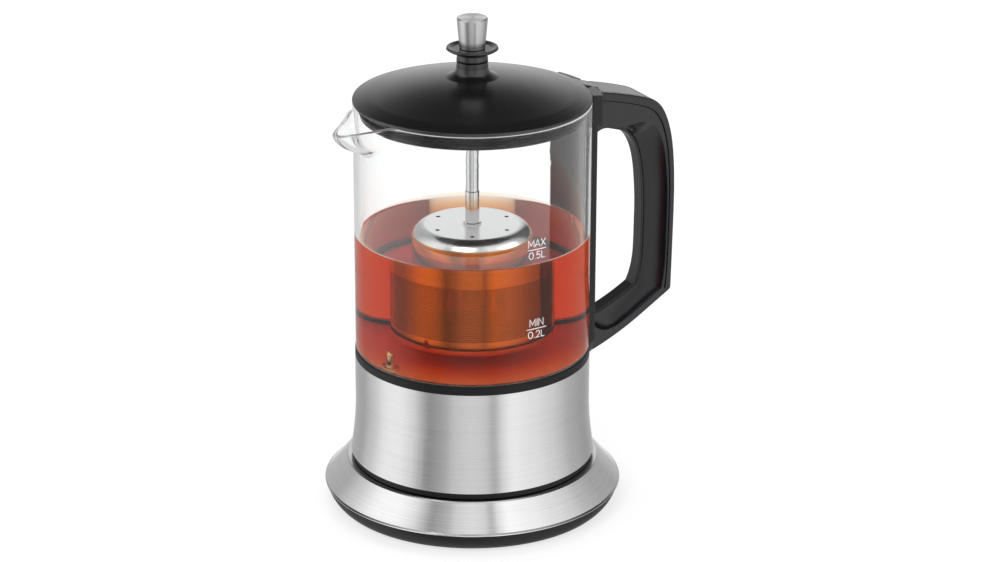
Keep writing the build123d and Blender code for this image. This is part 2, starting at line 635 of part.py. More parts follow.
def sleeve_solid(offset):
    """The sleeve's outer form as a solid, grown or shrunk by an offset."""
    half = Z_STEEL + STEEL_SWEEP * 0.45
    sweep_top = Z_STEEL + STEEL_SWEEP
    bottom, straight = STEEL_BOTTOM_R + offset, STEEL_R + offset
    edges = [
        Line((0, Z_STEEL), (bottom, Z_STEEL)),
        ThreePointArc((bottom, Z_STEEL), (steel_r(half) + offset, half), (straight, sweep_top)),
        Line((straight, sweep_top), (straight, Z_COLLAR)), Line((straight, Z_COLLAR), (0, Z_COLLAR)),
        Line((0, Z_COLLAR), (0, Z_STEEL))]
    return revolve(make_face([Plane.XZ * edge for edge in edges]), Axis.Z)


def steel_body():
    """The brushed sleeve, which sweeps out towards its foot."""
    sleeve = sleeve_solid(0) - sleeve_solid(-SHEET)
    opening = POWER_R + SLIDE_GAP + BEZEL_WALL + FIT_GAP
    sleeve -= along_x(opening, STEEL_R - THROUGH, STEEL_R + THROUGH, 0, Z_POWER)
    for y in (-HANDLE_SCREW_SPREAD, HANDLE_SCREW_SPREAD):
        sleeve -= along_x(SCREW_R + SCREW_GAP, STEEL_R - THROUGH, STEEL_R + THROUGH, y, Z_HANDLE_SCREW)
    return sleeve


def inner_frame():
    """The moulded frame that carries the plate, the control and the sleeve."""
    frame = tube(FRAME_R, FRAME_R - FRAME_WALL, Z_CAP_FLOOR, Z_COLLAR)
    frame -= along_x(POWER_R + POWER_ROOM, FRAME_R - THROUGH, FRAME_R + THROUGH, 0, Z_POWER)
    depth, width, height = SWITCH_SIZE
    shelf_x = (switch_front() - depth - SHELF_TAIL, FRAME_R - FRAME_WALL / 2)
    half, low, high = width / 2 + SHELF_MARGIN, Z_POWER - height / 2, Z_POWER + height / 2
    for bottom in (low - SHELF, high):
        frame += block(shelf_x, (-half, half), (bottom, bottom + SHELF))
    frame -= along_x(POWER_R + POWER_INNER_ROOM, switch_front() + SCREW_GAP, FRAME_R + THROUGH, 0, Z_POWER)
    for x, y in cap_places():
        frame += boss_and_web(x, y)
        frame -= disc(SCREW_R + FIT_GAP, Z_CAP_FLOOR - CUT, JUG_SCREW_SEAT + JUG_SCREW + CUT, x, y)
    for y in (-HANDLE_SCREW_SPREAD, HANDLE_SCREW_SPREAD):
        frame -= along_x(SCREW_R + SCREW_GAP, FRAME_R - THROUGH, FRAME_R + THROUGH, y, Z_HANDLE_SCREW)
    return frame


def boss_and_web(x, y):
    """A screw boss with a web that joins it to the frame's wall."""
    boss = disc(BOSS_R, Z_CAP_FLOOR, Z_CAP_FLOOR + BOSS_HEIGHT, x, y)
    length = FRAME_R - FRAME_WALL / 2 - BOSS_PLACE_R
    share = 1 + length / 2 / BOSS_PLACE_R
    angle = degrees(asin(y / BOSS_PLACE_R))
    turn = angle if x >= 0 else 180 - angle
    place = Pos(x * share, y * share, Z_CAP_FLOOR + BOSS_HEIGHT / 2) * Rot(0, 0, turn)
    return boss + place * Box(length, WEB_WALL, BOSS_HEIGHT)


def collar_ring():
    """The black ring between steel and glass, with a ledge for the floor plate."""
    seat = COLLAR_R - COLLAR_LEDGE
    ring = turned(
        (FRAME_R - FRAME_WALL, Z_COLLAR), (FRAME_R + FIT_GAP, Z_COLLAR),
        (FRAME_R + FIT_GAP, Z_COLLAR - COLLAR_SPIGOT),
        (STEEL_R - SHEET - FIT_GAP, Z_COLLAR - COLLAR_SPIGOT), (STEEL_R - SHEET - FIT_GAP, Z_COLLAR),
        (COLLAR_R, Z_COLLAR),
        (COLLAR_R, Z_COLLAR_TOP), (seat, Z_COLLAR_TOP), (seat, Z_PLATE), (FRAME_R - FRAME_WALL, Z_PLATE))
    for y in (-HANDLE_SCREW_SPREAD, HANDLE_SCREW_SPREAD):
        ring -= along_x(SCREW_R + SCREW_GAP, FRAME_R - THROUGH, FRAME_R + THROUGH, y, Z_HANDLE_SCREW)
    return ring


def floor_plate():
    plate = disc(COLLAR_R - COLLAR_LEDGE - FIT_GAP, Z_PLATE, Z_FLOOR)
    return plate - disc(PROBE_R + FIT_GAP, Z_PLATE - CUT, Z_FLOOR + CUT, *PROBE_PLACE)


def floor_seal():
    """Silicone seal between the plate's edge and the glass."""
    seat = COLLAR_R - COLLAR_LEDGE - FIT_GAP
    inner = GLASS_R - GLASS_WALL - SEAL_LIP
    return turned(
        (inner, Z_FLOOR), (seat, Z_FLOOR), (seat, Z_COLLAR_TOP), (GLASS_R, Z_COLLAR_TOP), (GLASS_R, Z_GLASS),
        (inner, Z_GLASS))


def heat_spreader():
    spreader = disc(SPREADER_R, Z_SPREADER, Z_PLATE)
    x, y = PROBE_PLACE
    return spreader - disc(PROBE_NUT_R + NUT_ROOM, Z_SPREADER - CUT, Z_PLATE + CUT, x, y)


def heating_element():
    """A tubular element bent into an open loop, with two cold ends that turn down."""
    centre_z = Z_SPREADER - ELEMENT_TUBE_R - FIT_GAP
    sweep_deg = 360 - ELEMENT_GAP_DEG
    section = Plane.XZ * (Pos(ELEMENT_R, centre_z) * Circle(ELEMENT_TUBE_R))
    loop = Rot(0, 0, ELEMENT_GAP_DEG / 2) * revolve(section, Axis.Z, sweep_deg)
    for side in (-1, 1):
        angle = radians(side * ELEMENT_GAP_DEG / 2)
        x, y = ELEMENT_R * cos(angle), ELEMENT_R * sin(angle)
        loop += Pos(x, y, centre_z) * Sphere(ELEMENT_TUBE_R)
        loop += disc(COLD_END_R, centre_z - COLD_END, centre_z, x, y)
    return loop


CONTROL_ROOF = Z_SOCKET_TOP + CONTROL_ROOF_ROOM
CONTROL_FLANGE = Z_DECK + CONE_HEIGHT + CONTROL_ROOM
CONTROL_TOP = Z_CAP_FLOOR + CONTROL_HEIGHT


def control_unit():
    """The jug's half of the connector, which drops over the socket and the cone."""
    well = SOCKET_R + WELL_GAP
    edge = CONE_BOTTOM_R + CONTROL_FLANGE_WIDTH
    unit = turned(
        (well, CONTROL_FLANGE), (edge - CONTROL_WALL, CONTROL_FLANGE), (edge - CONTROL_WALL, Z_CAP_FLOOR),
        (edge, Z_CAP_FLOOR), (edge, CONTROL_FLANGE + CONTROL_WALL),
        (CONTROL_R, CONTROL_FLANGE + CONTROL_WALL),
        (CONTROL_R, CONTROL_TOP), (0, CONTROL_TOP), (0, CONTROL_ROOF), (well, CONTROL_ROOF))
    for x, y in control_posts():
        unit += disc(POST_R, CONTROL_TOP, Z_SPREADER, x, y)
    return unit


def control_posts():
    return round_places(4, CONTROL_R - POST_INSET, 45)


def plug_contacts():
    """Centre pin and two contact rings, which reach down into the socket."""
    tip = Z_SOCKET_TOP - PIN_DEPTH + REST_GAP
    rings = [tube(radius, radius - RING_WALL, tip, CONTROL_ROOF) for radius in (INNER_RING_R, OUTER_RING_R)]
    return rings + [disc(PIN_R, tip, CONTROL_ROOF)]


def cutout_discs():
    """Two bimetal discs held against the heat spreader."""
    second = 2 * CUTOUT_R + CUTOUT_SPACE - CUTOUT_PLACE
    return [disc(CUTOUT_R, Z_SPREADER - CUTOUT_THICKNESS, Z_SPREADER, x, 0) for x in (-CUTOUT_PLACE, second)]


def control_board():
    """The timer board, on pegs above the control unit and between its posts."""
    length, width, thickness = BOARD_SIZE
    under = CONTROL_TOP + PEG_HEIGHT
    board = block((-length / 2, length / 2), (-width / 2, width / 2), (under, under + thickness))
    for x, y in control_posts():
        board -= disc(POST_R + REST_GAP, under - CUT, under + thickness + CUT, x, y)
    for x in (PEG_INSET - length / 2, length / 2 - PEG_INSET):
        board += disc(PEG_R, CONTROL_TOP, under, x, 0)
    relay_x, relay_y, relay_z = RELAY_SIZE
    top = under + thickness
    return board + block((-relay_x / 2, relay_x / 2), (-relay_y / 2, relay_y / 2), (top, top + relay_z))


def temperature_probe():
    """The sensor capsule that stands on the jug's floor."""
    x, y = PROBE_PLACE
    top = Z_FLOOR + PROBE_HEIGHT
    probe = disc(PROBE_R, Z_SPREADER - PROBE_TAIL, top - PROBE_R, x, y)
    probe += Pos(x, y, top - PROBE_R) * Sphere(PROBE_R)
    return probe + disc(PROBE_FLANGE_R, Z_FLOOR, Z_FLOOR + PROBE_FLANGE, x, y)


def probe_nut():
    x, y = PROBE_PLACE
    flats = Pos(x, y, Z_PLATE - PROBE_NUT) * extrude(RegularPolygon(PROBE_NUT_R, 6), PROBE_NUT)
    return flats - disc(PROBE_R + FIT_GAP, Z_PLATE - PROBE_NUT - CUT, Z_PLATE + CUT, x, y)


# ---- power button ----
def button_back():
    """Where the power button's collar ends inside the jug."""
    return STEEL_R - POWER_DEPTH


def switch_front():
    return button_back() - POWER_TRAVEL - REST_GAP


def power_bezel():
    face, bore_r = STEEL_R + BEZEL_PROUD, POWER_R + SLIDE_GAP
    sleeve = along_x(bore_r + BEZEL_WALL, button_back() + BEZEL_STOP, face, 0, Z_POWER)
    rim = along_x(bore_r + BEZEL_WIDTH, STEEL_R - BEZEL_DEPTH, face, 0, Z_POWER)
    rim -= sleeve_solid(FIT_GAP)
    bore = along_x(bore_r, button_back() - CUT, face + CUT, 0, Z_POWER)
    return sleeve + rim - bore


def power_button():
    """Round push button with a dished face and a collar behind the bezel."""
    face = STEEL_R + BEZEL_PROUD + POWER_PROUD
    button = along_x(POWER_R, button_back(), face, 0, Z_POWER)
    button = fillet(button.faces().sort_by(Axis.X)[-1].edges(), POWER_EDGE)
    button += along_x(POWER_R + POWER_COLLAR_WIDTH, button_back(), button_back() + POWER_COLLAR, 0, Z_POWER)
    dish = Pos(face + DISH_R - DISH_DEPTH, 0, Z_POWER) * Sphere(DISH_R)
    return button - dish


def micro_switch():
    depth, width, height = SWITCH_SIZE
    front = switch_front() - SWITCH_PIN
    sides, ends = (-width / 2, width / 2), (Z_POWER - height / 2, Z_POWER + height / 2)
    pin = along_x(SWITCH_PIN_R, front, switch_front(), 0, Z_POWER)
    return block((front - depth, front), sides, ends) + pin


# ---- glass ----
def beak_section(z, radius, reach, half_deg):
    """A circle whose -X side is pulled out into a beak."""
    points = [(-share * half_deg, radius + reach * pull) for share, pull in BEAK_PLAN[:-1]]
    points += [(0, radius + reach)] + [(-angle, r) for angle, r in reversed(points)]
    pull = [(-r * cos(radians(a)), r * sin(radians(a))) for a, r in points]
    angle = radians(half_deg)
    start = (-radius * cos(angle), -radius * sin(angle))
    end = (-radius * cos(angle), radius * sin(angle))
    if reach:
        nose = Spline(start, *pull, end, tangents=[(-sin(angle), cos(angle)), (sin(angle), cos(angle))])
    else:
        nose = ThreePointArc(start, (-radius, 0), end)
    back = ThreePointArc(end, (radius, 0), start)
    return Pos(0, 0, z) * make_face([nose, back])


def jug_shape(radius, rise):
    """Solid inside of a skin of the glass: a cylinder that opens into the beak."""
    root = Z_RIM - BEAK_HEIGHT
    barrel = disc(radius, Z_GLASS - CUT, root + rise)
    sections = [
        beak_section(root + rise + height * BEAK_HEIGHT, radius, BEAK_REACH * pull, BEAK_HALF_DEG * half)
        for height, pull, half in BEAK_RISE]
    return barrel + loft(sections)


def glass_jug():
    glass = jug_shape(GLASS_R, 0) - jug_shape(GLASS_R - GLASS_WALL, BEAK_FLOOR)
    glass -= disc(GLASS_R * 2, Z_RIM, Z_RIM + BEAK_HEIGHT)
    glass -= disc(GLASS_R * 2, Z_GLASS - 2 * CUT, Z_GLASS)
    start, tip = GLASS_R - SLOPE_START, GLASS_R + BEAK_REACH
    fall = BEAK_DROP / (tip - start)
    far, over = tip + BEAK_REACH, Z_RIM + BEAK_HEIGHT
    low = Z_RIM - fall * (far - start)
    slope = Polyline((-start, Z_RIM), (-far, low), (-far, over), (-start, over), close=True)
    return glass - extrude(Plane.XZ * make_face(slope), GLASS_R * 2, both=True)


# ---- handle ----
def station_points(rows, shares, low):
    """Outline points of some rows, each at its own share of the way from outer to inner."""
    base = Z_HANDLE_FOOT if low else Z_HEAD
    sign = 1 if low else -1
    points = []
    for row, share in zip(rows, shares):
        (u0, h0), (u1, h1) = row[0], row[1]
        u, h = u0 + (u1 - u0) * share, h0 + (h1 - h0) * share
        points.append((GLASS_R + HANDLE_REACH * u, base + sign * h))
    return points


def outline(shares_upper, shares_arm):
    """One long outline of the handle: its upper run to the corner, then the lower arm."""
    upper = station_points(UPPER, shares_upper[:len(UPPER)], False)
    upper += station_points(LOWER, shares_upper[len(UPPER):], True)
    return upper, station_points(ARM, shares_arm, True)


def band_face(outer, inner):
    """The face between two outlines that share their corner station."""
    return make_face([
        Plane.XZ * Spline(*outer[0]), Plane.XZ * Spline(*outer[1]),
        Plane.XZ * Line(outer[1][-1], inner[1][-1]),
        Plane.XZ * Spline(*inner[1][::-1]), Plane.XZ * Spline(*inner[0][::-1]),
        Plane.XZ * Line(inner[0][0], outer[0][0])])


def level(share):
    """The outline at one share of the section, all the way round."""
    return outline([share] * (len(UPPER) + len(LOWER)), [share] * len(ARM))


def filled(column):
    """The outline that a column of the station rows gives."""
    def shares(rows):
        return [row[column] * (1 - LINER_SHARE) for row in rows]
    return outline(shares(UPPER + LOWER), shares(ARM))


def upper_band(outer_share, inner_share, half):
    """A band along the upper run only, as wide as the handle's cover."""
    outer, inner = level(outer_share)[0], level(inner_share)[0]
    face = make_face([
        Plane.XZ * Spline(*outer), Plane.XZ * Line(outer[-1], inner[-1]),
        Plane.XZ * Spline(*inner[::-1]), Plane.XZ * Line(inner[0], outer[0])])
    return extrude(face, half, both=True)


def button_pocket(gap):
    """The space of the lid button, with a gap all round."""
    top = level(0.0)[0]
    start, end = GLASS_R + BUTTON_START - gap, GLASS_R + BUTTON_END + gap
    deep = BUTTON_THICKNESS + (BUTTON_TRAVEL + BUTTON_ROOM if gap else 0)
    ridge = Plane.XZ * Spline(*top)
    lower = Plane.XZ * Spline(*[(x, z - deep) for x, z in top])
    rise = 4 * BUTTON_TRAVEL if gap else 0
    roof = [(x, z + rise) for x, z in top]
    upper = Plane.XZ * Spline(*roof) if gap else ridge
    sheet = make_face([
        upper, Plane.XZ * Line(roof[-1], (top[-1][0], top[-1][1] - deep)), lower,
        Plane.XZ * Line((top[0][0], top[0][1] - deep), roof[0])])
    slab = extrude(sheet, BUTTON_HALF + gap, both=True)
    sides, heights = (-2 * HANDLE_HALF, 2 * HANDLE_HALF), (Z_HANDLE_FOOT, Z_HEAD + HANDLE_REACH)
    return slab & block((start, end), sides, heights)


def lid_notch():
    """Room in the head for the lid's tab and for the nose of the button."""
    start, end = GLASS_R + TAB_REACH, GLASS_R + BUTTON_START
    low, half = Z_LID - TAB_THICKNESS - NOTCH_ROOM, NOSE_HALF + SLIDE_GAP
    room = block((GLASS_R - HEAD_DEPTH, end), (-NOTCH_HALF, NOTCH_HALF), (low, Z_HEAD + HEAD_HEIGHT))
    return room + block((start, end), (-half, half), (Z_HEAD - NOSE_DROP - BUTTON_TRAVEL - NOSE_ROOM, Z_HEAD))


def corner_cut():
    """What rounds off the corner where the grip's outer line meets the lower arm's."""
    corner = Vector(*level(0.0)[0][-1])
    up = (Spline(*level(0.0)[0]) % 1) * -1
    back = Spline(*station_points(ARM, [0.0] * len(ARM), True)) % 0
    first, last = corner + up * CORNER_ROUND, corner + back * CORNER_ROUND
    out = (up + back).normalized() * -CORNER_ROUND
    bend = (up + back).length / 2
    middle = corner - out * (bend / (1 + sqrt(1 - bend * bend)))
    face = make_face([Plane.XZ * edge for edge in (
        Line(first, first + out), Line(first + out, last + out), Line(last + out, last),
        ThreePointArc(last, middle, first))])
    return extrude(face, HANDLE_HALF + CUT, both=True)


def handle_cover():
    """The outer shell of the handle, from the head to the lower corner."""
    cover = upper_band(0.0, COVER_SHARE, HANDLE_HALF)
    far = [face for face in cover.faces() if abs(face.center().Y) > HANDLE_HALF - FIT_GAP]
    rims = [edge for face in far for edge in face.edges().sort_by(SortBy.LENGTH)[-1:]]
    cover = fillet(rims, COVER_ROUND)
    cover -= disc(HEAD_R + FIT_GAP, Z_HANDLE_FOOT, Z_HEAD + CUT)
    return cover - button_pocket(SLIDE_GAP) - lid_notch() - corner_cut()


def handle_body():
    """Strip on the glass, arms and scooped grip."""
    start = COVER_SHARE + SEAM_SHARE
    outer = level(start)
    inner = level(1 - LINER_SHARE)
    half = HANDLE_HALF - BODY_INSET
    core = extrude(band_face(outer, inner), CORE_HALF, both=True)
    side = loft([
        Pos(0, -place, 0) * band_face(outer, line)
        for place, line in ((CORE_HALF, inner), (CREST_HALF, filled(2)), (half, filled(3)))])
    body = core + side + mirror(side, Plane.XZ) + extrude(arm_face(), half, both=True)
    body += sector(STRIP_R + STRIP_THICKNESS, STRIP_R, Z_HANDLE_FOOT, Z_HEAD - STRIP_DROP, STRIP_HALF_DEG)
    body += sector(HEAD_R, LID_R + HEAD_GAP, Z_HEAD - HEAD_HEIGHT, Z_HEAD, HEAD_HALF_DEG)
    body -= disc(STRIP_R, Z_HANDLE_FOOT - CUT, Z_HEAD + CUT)
    body -= button_pocket(SLIDE_GAP) + lid_notch() + spring_well()
    body -= foot_corner() + mirror(foot_corner(), Plane.XZ) + corner_cut()
    for y in (-HANDLE_SCREW_SPREAD, HANDLE_SCREW_SPREAD):
        depth = HANDLE_SCREW_DEPTH + SCREW_ROOM
        body -= along_x(SCREW_R + FIT_GAP, GLASS_R - HEAD_DEPTH, GLASS_R + depth, y, Z_HANDLE_SCREW)
    return body


def arm_face():
    """The full-width band along the outside of the lower arm."""
    outer = station_points(ARM, [0.0] * len(ARM), True)
    inner = station_points(ARM, [ARM_SHARE + SEAM_SHARE] * len(ARM), True)
    return make_face([
        Plane.XZ * Spline(*outer), Plane.XZ * Line(outer[-1], inner[-1]), Plane.XZ * Spline(*inner[::-1]),
        Plane.XZ * Line(inner[0], outer[0])])


STRIP_R = GLASS_R + PAD_THICKNESS


def foot_corner():
    """What is cut from one lower corner of the strip so that the foot tapers."""
    width = STRIP_R * sin(radians(STRIP_HALF_DEG)) + STRIP_THICKNESS
    low = Z_HANDLE_FOOT - CUT
    corner = Polyline((HANDLE_HALF, low), (width, low), (width, Z_HANDLE_FOOT + FOOT_TAPER), close=True)
    return extrude(Plane.YZ * make_face(corner), GLASS_R * 2)


def handle_pad():
    """Bonding pad between the glass and the handle's strip."""
    low, top = Z_GLASS + PAD_FOOT, Z_HEAD - PAD_HEAD
    return sector(STRIP_R - FIT_GAP / 2, GLASS_R + FIT_GAP / 2, low, top, STRIP_HALF_DEG - 1)


def grip_liner():
    """The soft strip along the inside of the grip."""
    liner = extrude(band_face(level(1 - LINER_SHARE + SEAM_SHARE), level(1.0)), CORE_HALF, both=True)
    middle = (Z_HANDLE_FOOT + Z_HEAD) / 2
    liner -= block((0, GLASS_R + LINER_START), (-HANDLE_HALF, HANDLE_HALF), (middle, Z_HEAD))
    return liner - disc(STRIP_R + STRIP_THICKNESS + FIT_GAP, Z_HANDLE_FOOT, Z_HEAD + CUT)


def handle_screws():
    """Two screws from inside the frame, through the sleeve, into the handle's foot."""
    screws = []
    for y in (-HANDLE_SCREW_SPREAD, HANDLE_SCREW_SPREAD):
        inside = sqrt((FRAME_R - FRAME_WALL) ** 2 - (abs(y) + SCREW_HEAD_R) ** 2)
        head = along_x(SCREW_HEAD_R, inside - SCREW_HEAD, inside, y, Z_HANDLE_SCREW)
        screws.append(head + along_x(SCREW_R, inside, GLASS_R + HANDLE_SCREW_DEPTH, y, Z_HANDLE_SCREW))
    return screws


def ridge_z(x):
    """Height of the handle's top line at an X."""
    ridge = Spline(*level(0.0)[0])
    low, high = 0.0, 0.5
    for _ in range(30):
        middle = (low + high) / 2
        low, high = (middle, high) if (ridge @ middle).X < x else (low, middle)
    return (ridge @ low).Y


def lid_button():
    """The push plate in the handle's head, with a nose that faces the lid's tab."""
    top = ridge_z(GLASS_R + BUTTON_START)
    ends = (GLASS_R + TAB_REACH + SLIDE_GAP, GLASS_R + BUTTON_START + NOSE_ROOM)
    nose = block(ends, (-NOSE_HALF, NOSE_HALF), (Z_HEAD - NOSE_DROP, top - NOSE_INSET))
    return button_pocket(0) + nose


SPRING_X = GLASS_R + BUTTON_START + SPRING_PLACE


def spring_foot():
    """Height of the floor that the leaf spring stands on."""
    return ridge_z(SPRING_X + SPRING_HALF + WELL_MARGIN) - BUTTON_THICKNESS - BUTTON_TRAVEL - LEAF_ROOM


def spring_well():
    reach, half = SPRING_HALF + WELL_MARGIN, LEAF_HALF + WELL_MARGIN
    return block((SPRING_X - reach, SPRING_X + reach), (-half, half), (spring_foot(), Z_HEAD))


def button_spring():
    """A bent leaf between the floor of its well and the button."""
    low, top = spring_foot(), ridge_z(SPRING_X) - BUTTON_THICKNESS - LEAF_GAP
    left, right = SPRING_X - SPRING_HALF, SPRING_X + SPRING_HALF
    leaf = Polyline(
        (left, low), (left + LEAF_FOOT, low), (SPRING_X, top - LEAF), (right - LEAF_FOOT, low), (right, low),
        (right, low + LEAF), (right - LEAF_FOOT, low + LEAF), (SPRING_X, top), (left + LEAF_FOOT, low + LEAF),
        (left, low + LEAF), close=True)
    return extrude(Plane.XZ * make_face(leaf), LEAF_HALF, both=True)


# ---- lid ----
def lid_line():
    """The dome's outer line from its rounded edge to the top of the neck."""
    crest = (LID_CREST_R, Z_LID + LID_CREST_RISE)
    edge_low = (LID_R - LID_EDGE_ROUND, Z_LID)
    edge_top = (LID_R - LID_EDGE_ROUND * 1.8, Z_LID + LID_EDGE * 1.06)
    foot = (NECK_FOOT_R, Z_LID_TOP)
    neck = (NECK_R, Z_LID_TOP + NECK_HEIGHT * 0.62)
    edge = ThreePointArc(edge_low, (LID_R, Z_LID + LID_EDGE * 0.55), edge_top)
    band = Line(edge_top, crest)
    dome = Spline(crest, foot, tangents=[(-1, 0.26), (-1, 0.10)])
    flare = Spline(foot, neck, tangents=[(-1, 0.35), (-0.05, 1)])
    return [edge, band, dome, flare, Line(neck, (NECK_R, Z_NECK_TOP))]


def lid_cover():
    """The black dome with its neck and the rear tab."""
    bore = ROD_R + ROD_GAP + GUIDE_WALL + FIT_GAP
    under, crest = Z_LID_TOP - LID_WALL, (LID_CREST_R, Z_LID + LID_CREST_RISE - LID_WALL)
    flat = (LID_CREST_R + LID_SLOPE, Z_LID)
    hollow = [
        Line((NECK_R, Z_NECK_TOP), (bore, Z_NECK_TOP)), Line((bore, Z_NECK_TOP), (bore, under)),
        Line((bore, under), (NECK_FOOT_R, under)), Line((NECK_FOOT_R, under), crest), Line(crest, flat),
        Line(flat, (LID_R - LID_EDGE_ROUND, Z_LID))]
    cover = revolve(make_face([Plane.XZ * edge for edge in lid_line() + hollow]), Axis.Z)
    for x, y in lid_screw_places():
        boss = disc(LID_BOSS_R, Z_LID, under - LID_BOSS_DROP, x, y)
        cover += boss - disc(SCREW_R + FIT_GAP, Z_LID - CUT, Z_LID + LID_SCREW_BORE, x, y)
    return cover + lid_tab()


def lid_screw_places():
    return round_places(LID_SCREWS, LID_SCREW_PLACE_R, LID_SCREW_TURN_DEG)


def lid_tab():
    """The tab at the lid's rear, which steps down into the notch of the handle's head."""
    over, end, low = HEAD_FACE_R + HEAD_STEP, GLASS_R + TAB_REACH, Z_LID - TAB_THICKNESS
    root, top = LID_R - 2 * CUT, Z_LID + LID_EDGE * 0.56
    tab = Polyline(
        (root, Z_LID), (over, Z_LID), (over, low), (end, low), (end, Z_LID - TAB_FALL),
        (LID_R + HEAD_STEP, top), (root, top), close=True)
    return extrude(Plane.XZ * make_face(tab), TAB_HALF, both=True)


def lid_skirt():
    """The plug under the dome: a plate with a round skirt that centres the lid in the glass."""
    bore, plate, low = ROD_R + PLATE_BORE, Z_LID - INNER_PLATE, Z_LID - SKIRT_DEPTH
    skirt = turned(
        (bore, plate), (SKIRT_R - SKIRT_WALL, plate), (SKIRT_R - SKIRT_WALL, low),
        (SKIRT_R - SKIRT_ROUND, low), (SKIRT_R, low + SKIRT_ROUND), (SKIRT_R, Z_LID), (bore, Z_LID))
    for x, y in lid_screw_places():
        skirt -= disc(SCREW_R + SCREW_GAP, plate - CUT, Z_LID + CUT, x, y)
    for x, y in round_places(STEAM_HOLES, STEAM_PLACE_R):
        skirt -= disc(STEAM_HOLE_R, plate - CUT, Z_LID + CUT, x, y)
    return skirt - tube(SKIRT_R + CUT, SKIRT_R - SEAL_GROOVE, SEAL_BOTTOM, SEAL_BOTTOM + SEAL_WIDTH)


SEAL_BOTTOM = Z_LID - SKIRT_DEPTH + SEAL_RISE


def lid_seal():
    inner, outer = SKIRT_R - SEAL_GROOVE + FIT_GAP, SKIRT_R + SEAL_PROUD
    middle, top = SEAL_BOTTOM + SEAL_WIDTH / 2, SEAL_BOTTOM + SEAL_WIDTH
    return turned(
        (inner, SEAL_BOTTOM), (SKIRT_R, SEAL_BOTTOM), (outer, middle - SEAL_CREST / 2),
        (outer, middle + SEAL_CREST / 2), (SKIRT_R, top), (inner, top))


def lid_bush():
    """The guide bush that the rod runs in."""
    inner, under, top = ROD_R + ROD_GAP, Z_LID_TOP - LID_WALL, Z_NECK_TOP - BUSH_DROP
    return turned(
        (inner, under - BUSH_FOOT), (NECK_R, under - BUSH_FOOT), (NECK_R, under), (inner + GUIDE_WALL, under),
        (inner + GUIDE_WALL, top), (inner, top))


def lid_screws():
    head = Z_LID - INNER_PLATE - SCREW_HEAD
    return [screw(x, y, head, LID_SCREW) for x, y in lid_screw_places()]


# ---- plunger ----
def pull_collar():
    """The black finger flange under the knob."""
    waist, seat = Z_PULL + PULL_NECK_HEIGHT, Z_PULL_TOP - PULL_DISH
    bore = ROD_R + FIT_GAP
    return turned(
        (bore, Z_PULL), (NECK_R - 0.2, Z_PULL), (NECK_R, Z_PULL + 0.4), (NECK_R - 0.3, waist - 1.6),
        (NECK_R + 1.0, waist - 0.7), (PULL_R - 1.2, waist - 0.1), (PULL_R, waist + 0.7),
        (PULL_R - 0.3, Z_PULL_TOP - 0.1), (PULL_R - 1.0, Z_PULL_TOP), (KNOB_BOTTOM_R + PULL_SEAT, seat),
        (bore, seat))


def knob():
    """The tapered steel knob."""
    bottom = Z_PULL_TOP - PULL_DISH
    body = turned(
        (0, bottom), (KNOB_BOTTOM_R - KNOB_ROUND, bottom), (KNOB_BOTTOM_R, bottom + KNOB_ROUND),
        (KNOB_TOP_R, Z_KNOB_TOP - KNOB_BEVEL), (KNOB_TOP_R - KNOB_BEVEL, Z_KNOB_TOP), (0, Z_KNOB_TOP))
    return body - disc(ROD_R + FIT_GAP, bottom - CUT, bottom + KNOB_BORE)


def rod():
    return disc(ROD_R, Z_DISC_TOP - NUT - SHEET - NUT_PROUD, Z_PULL_TOP - PULL_DISH + KNOB_BORE - ROD_END_GAP)


def rod_sleeve():
    """The thicker tube above the basket's lid, with its flange ring."""
    inner = ROD_R + FIT_GAP
    bottom, ledge = Z_DISC_TOP, Z_DISC_TOP + STEM_FLANGE
    return turned(
        (inner, bottom), (STEM_FLANGE_R, bottom), (STEM_FLANGE_R, ledge - STEM_ROUND),
        (STEM_FLANGE_R - STEM_ROUND, ledge), (SLEEVE_R, ledge), (SLEEVE_R, Z_SLEEVE_TOP - SLEEVE_BEVEL),
        (SLEEVE_R - SLEEVE_BEVEL, Z_SLEEVE_TOP), (inner, Z_SLEEVE_TOP))


def rod_nut():
    """The nut that clamps the basket's lid to the rod."""
    top = Z_DISC_TOP - SHEET
    nut = Pos(0, 0, top - NUT) * extrude(RegularPolygon(NUT_R, 6), NUT)
    return nut - disc(ROD_R + FIT_GAP, top - NUT - CUT, top + CUT)


def basket_lid():
    """The pressed steel lid of the basket, with six holes and a slotted bayonet skirt."""
    skirt_low = Z_DISC - BAYONET_DEPTH
    lid = revolve(make_face([Plane.XZ * edge for edge in basket_lid_line()]), Axis.Z)
    for x, y in round_places(DISC_HOLES, DISC_HOLE_PLACE_R, DISC_HOLE_TURN_DEG):
        lid -= disc(DISC_HOLE_R, Z_DISC_TOP - DISC_HEIGHT / 2, Z_DISC_TOP + CUT, x, y)
    lug_z, half_turn = Z_BASKET_RIM - LUG_DROP, LUG_TURN_DEG / 2
    outer, inner = BAYONET_R + CUT, BAYONET_R - SHEET - CUT
    for i in range(LUGS):
        turn = 360.0 * i / LUGS
        run = sector(outer, inner, lug_z - LUG_SLOT, lug_z + LUG_SLOT, half_turn + LUG_SLOT_DEG)
        mouth = sector(outer, inner, skirt_low - CUT, lug_z, LUG_SLOT_DEG)
        lid -= Rot(0, 0, turn - half_turn) * run
        lid -= Rot(0, 0, turn - LUG_TURN_DEG) * mouth
    return lid


BAYONET_R = BASKET_R - BASKET_WALL - BAYONET_GAP


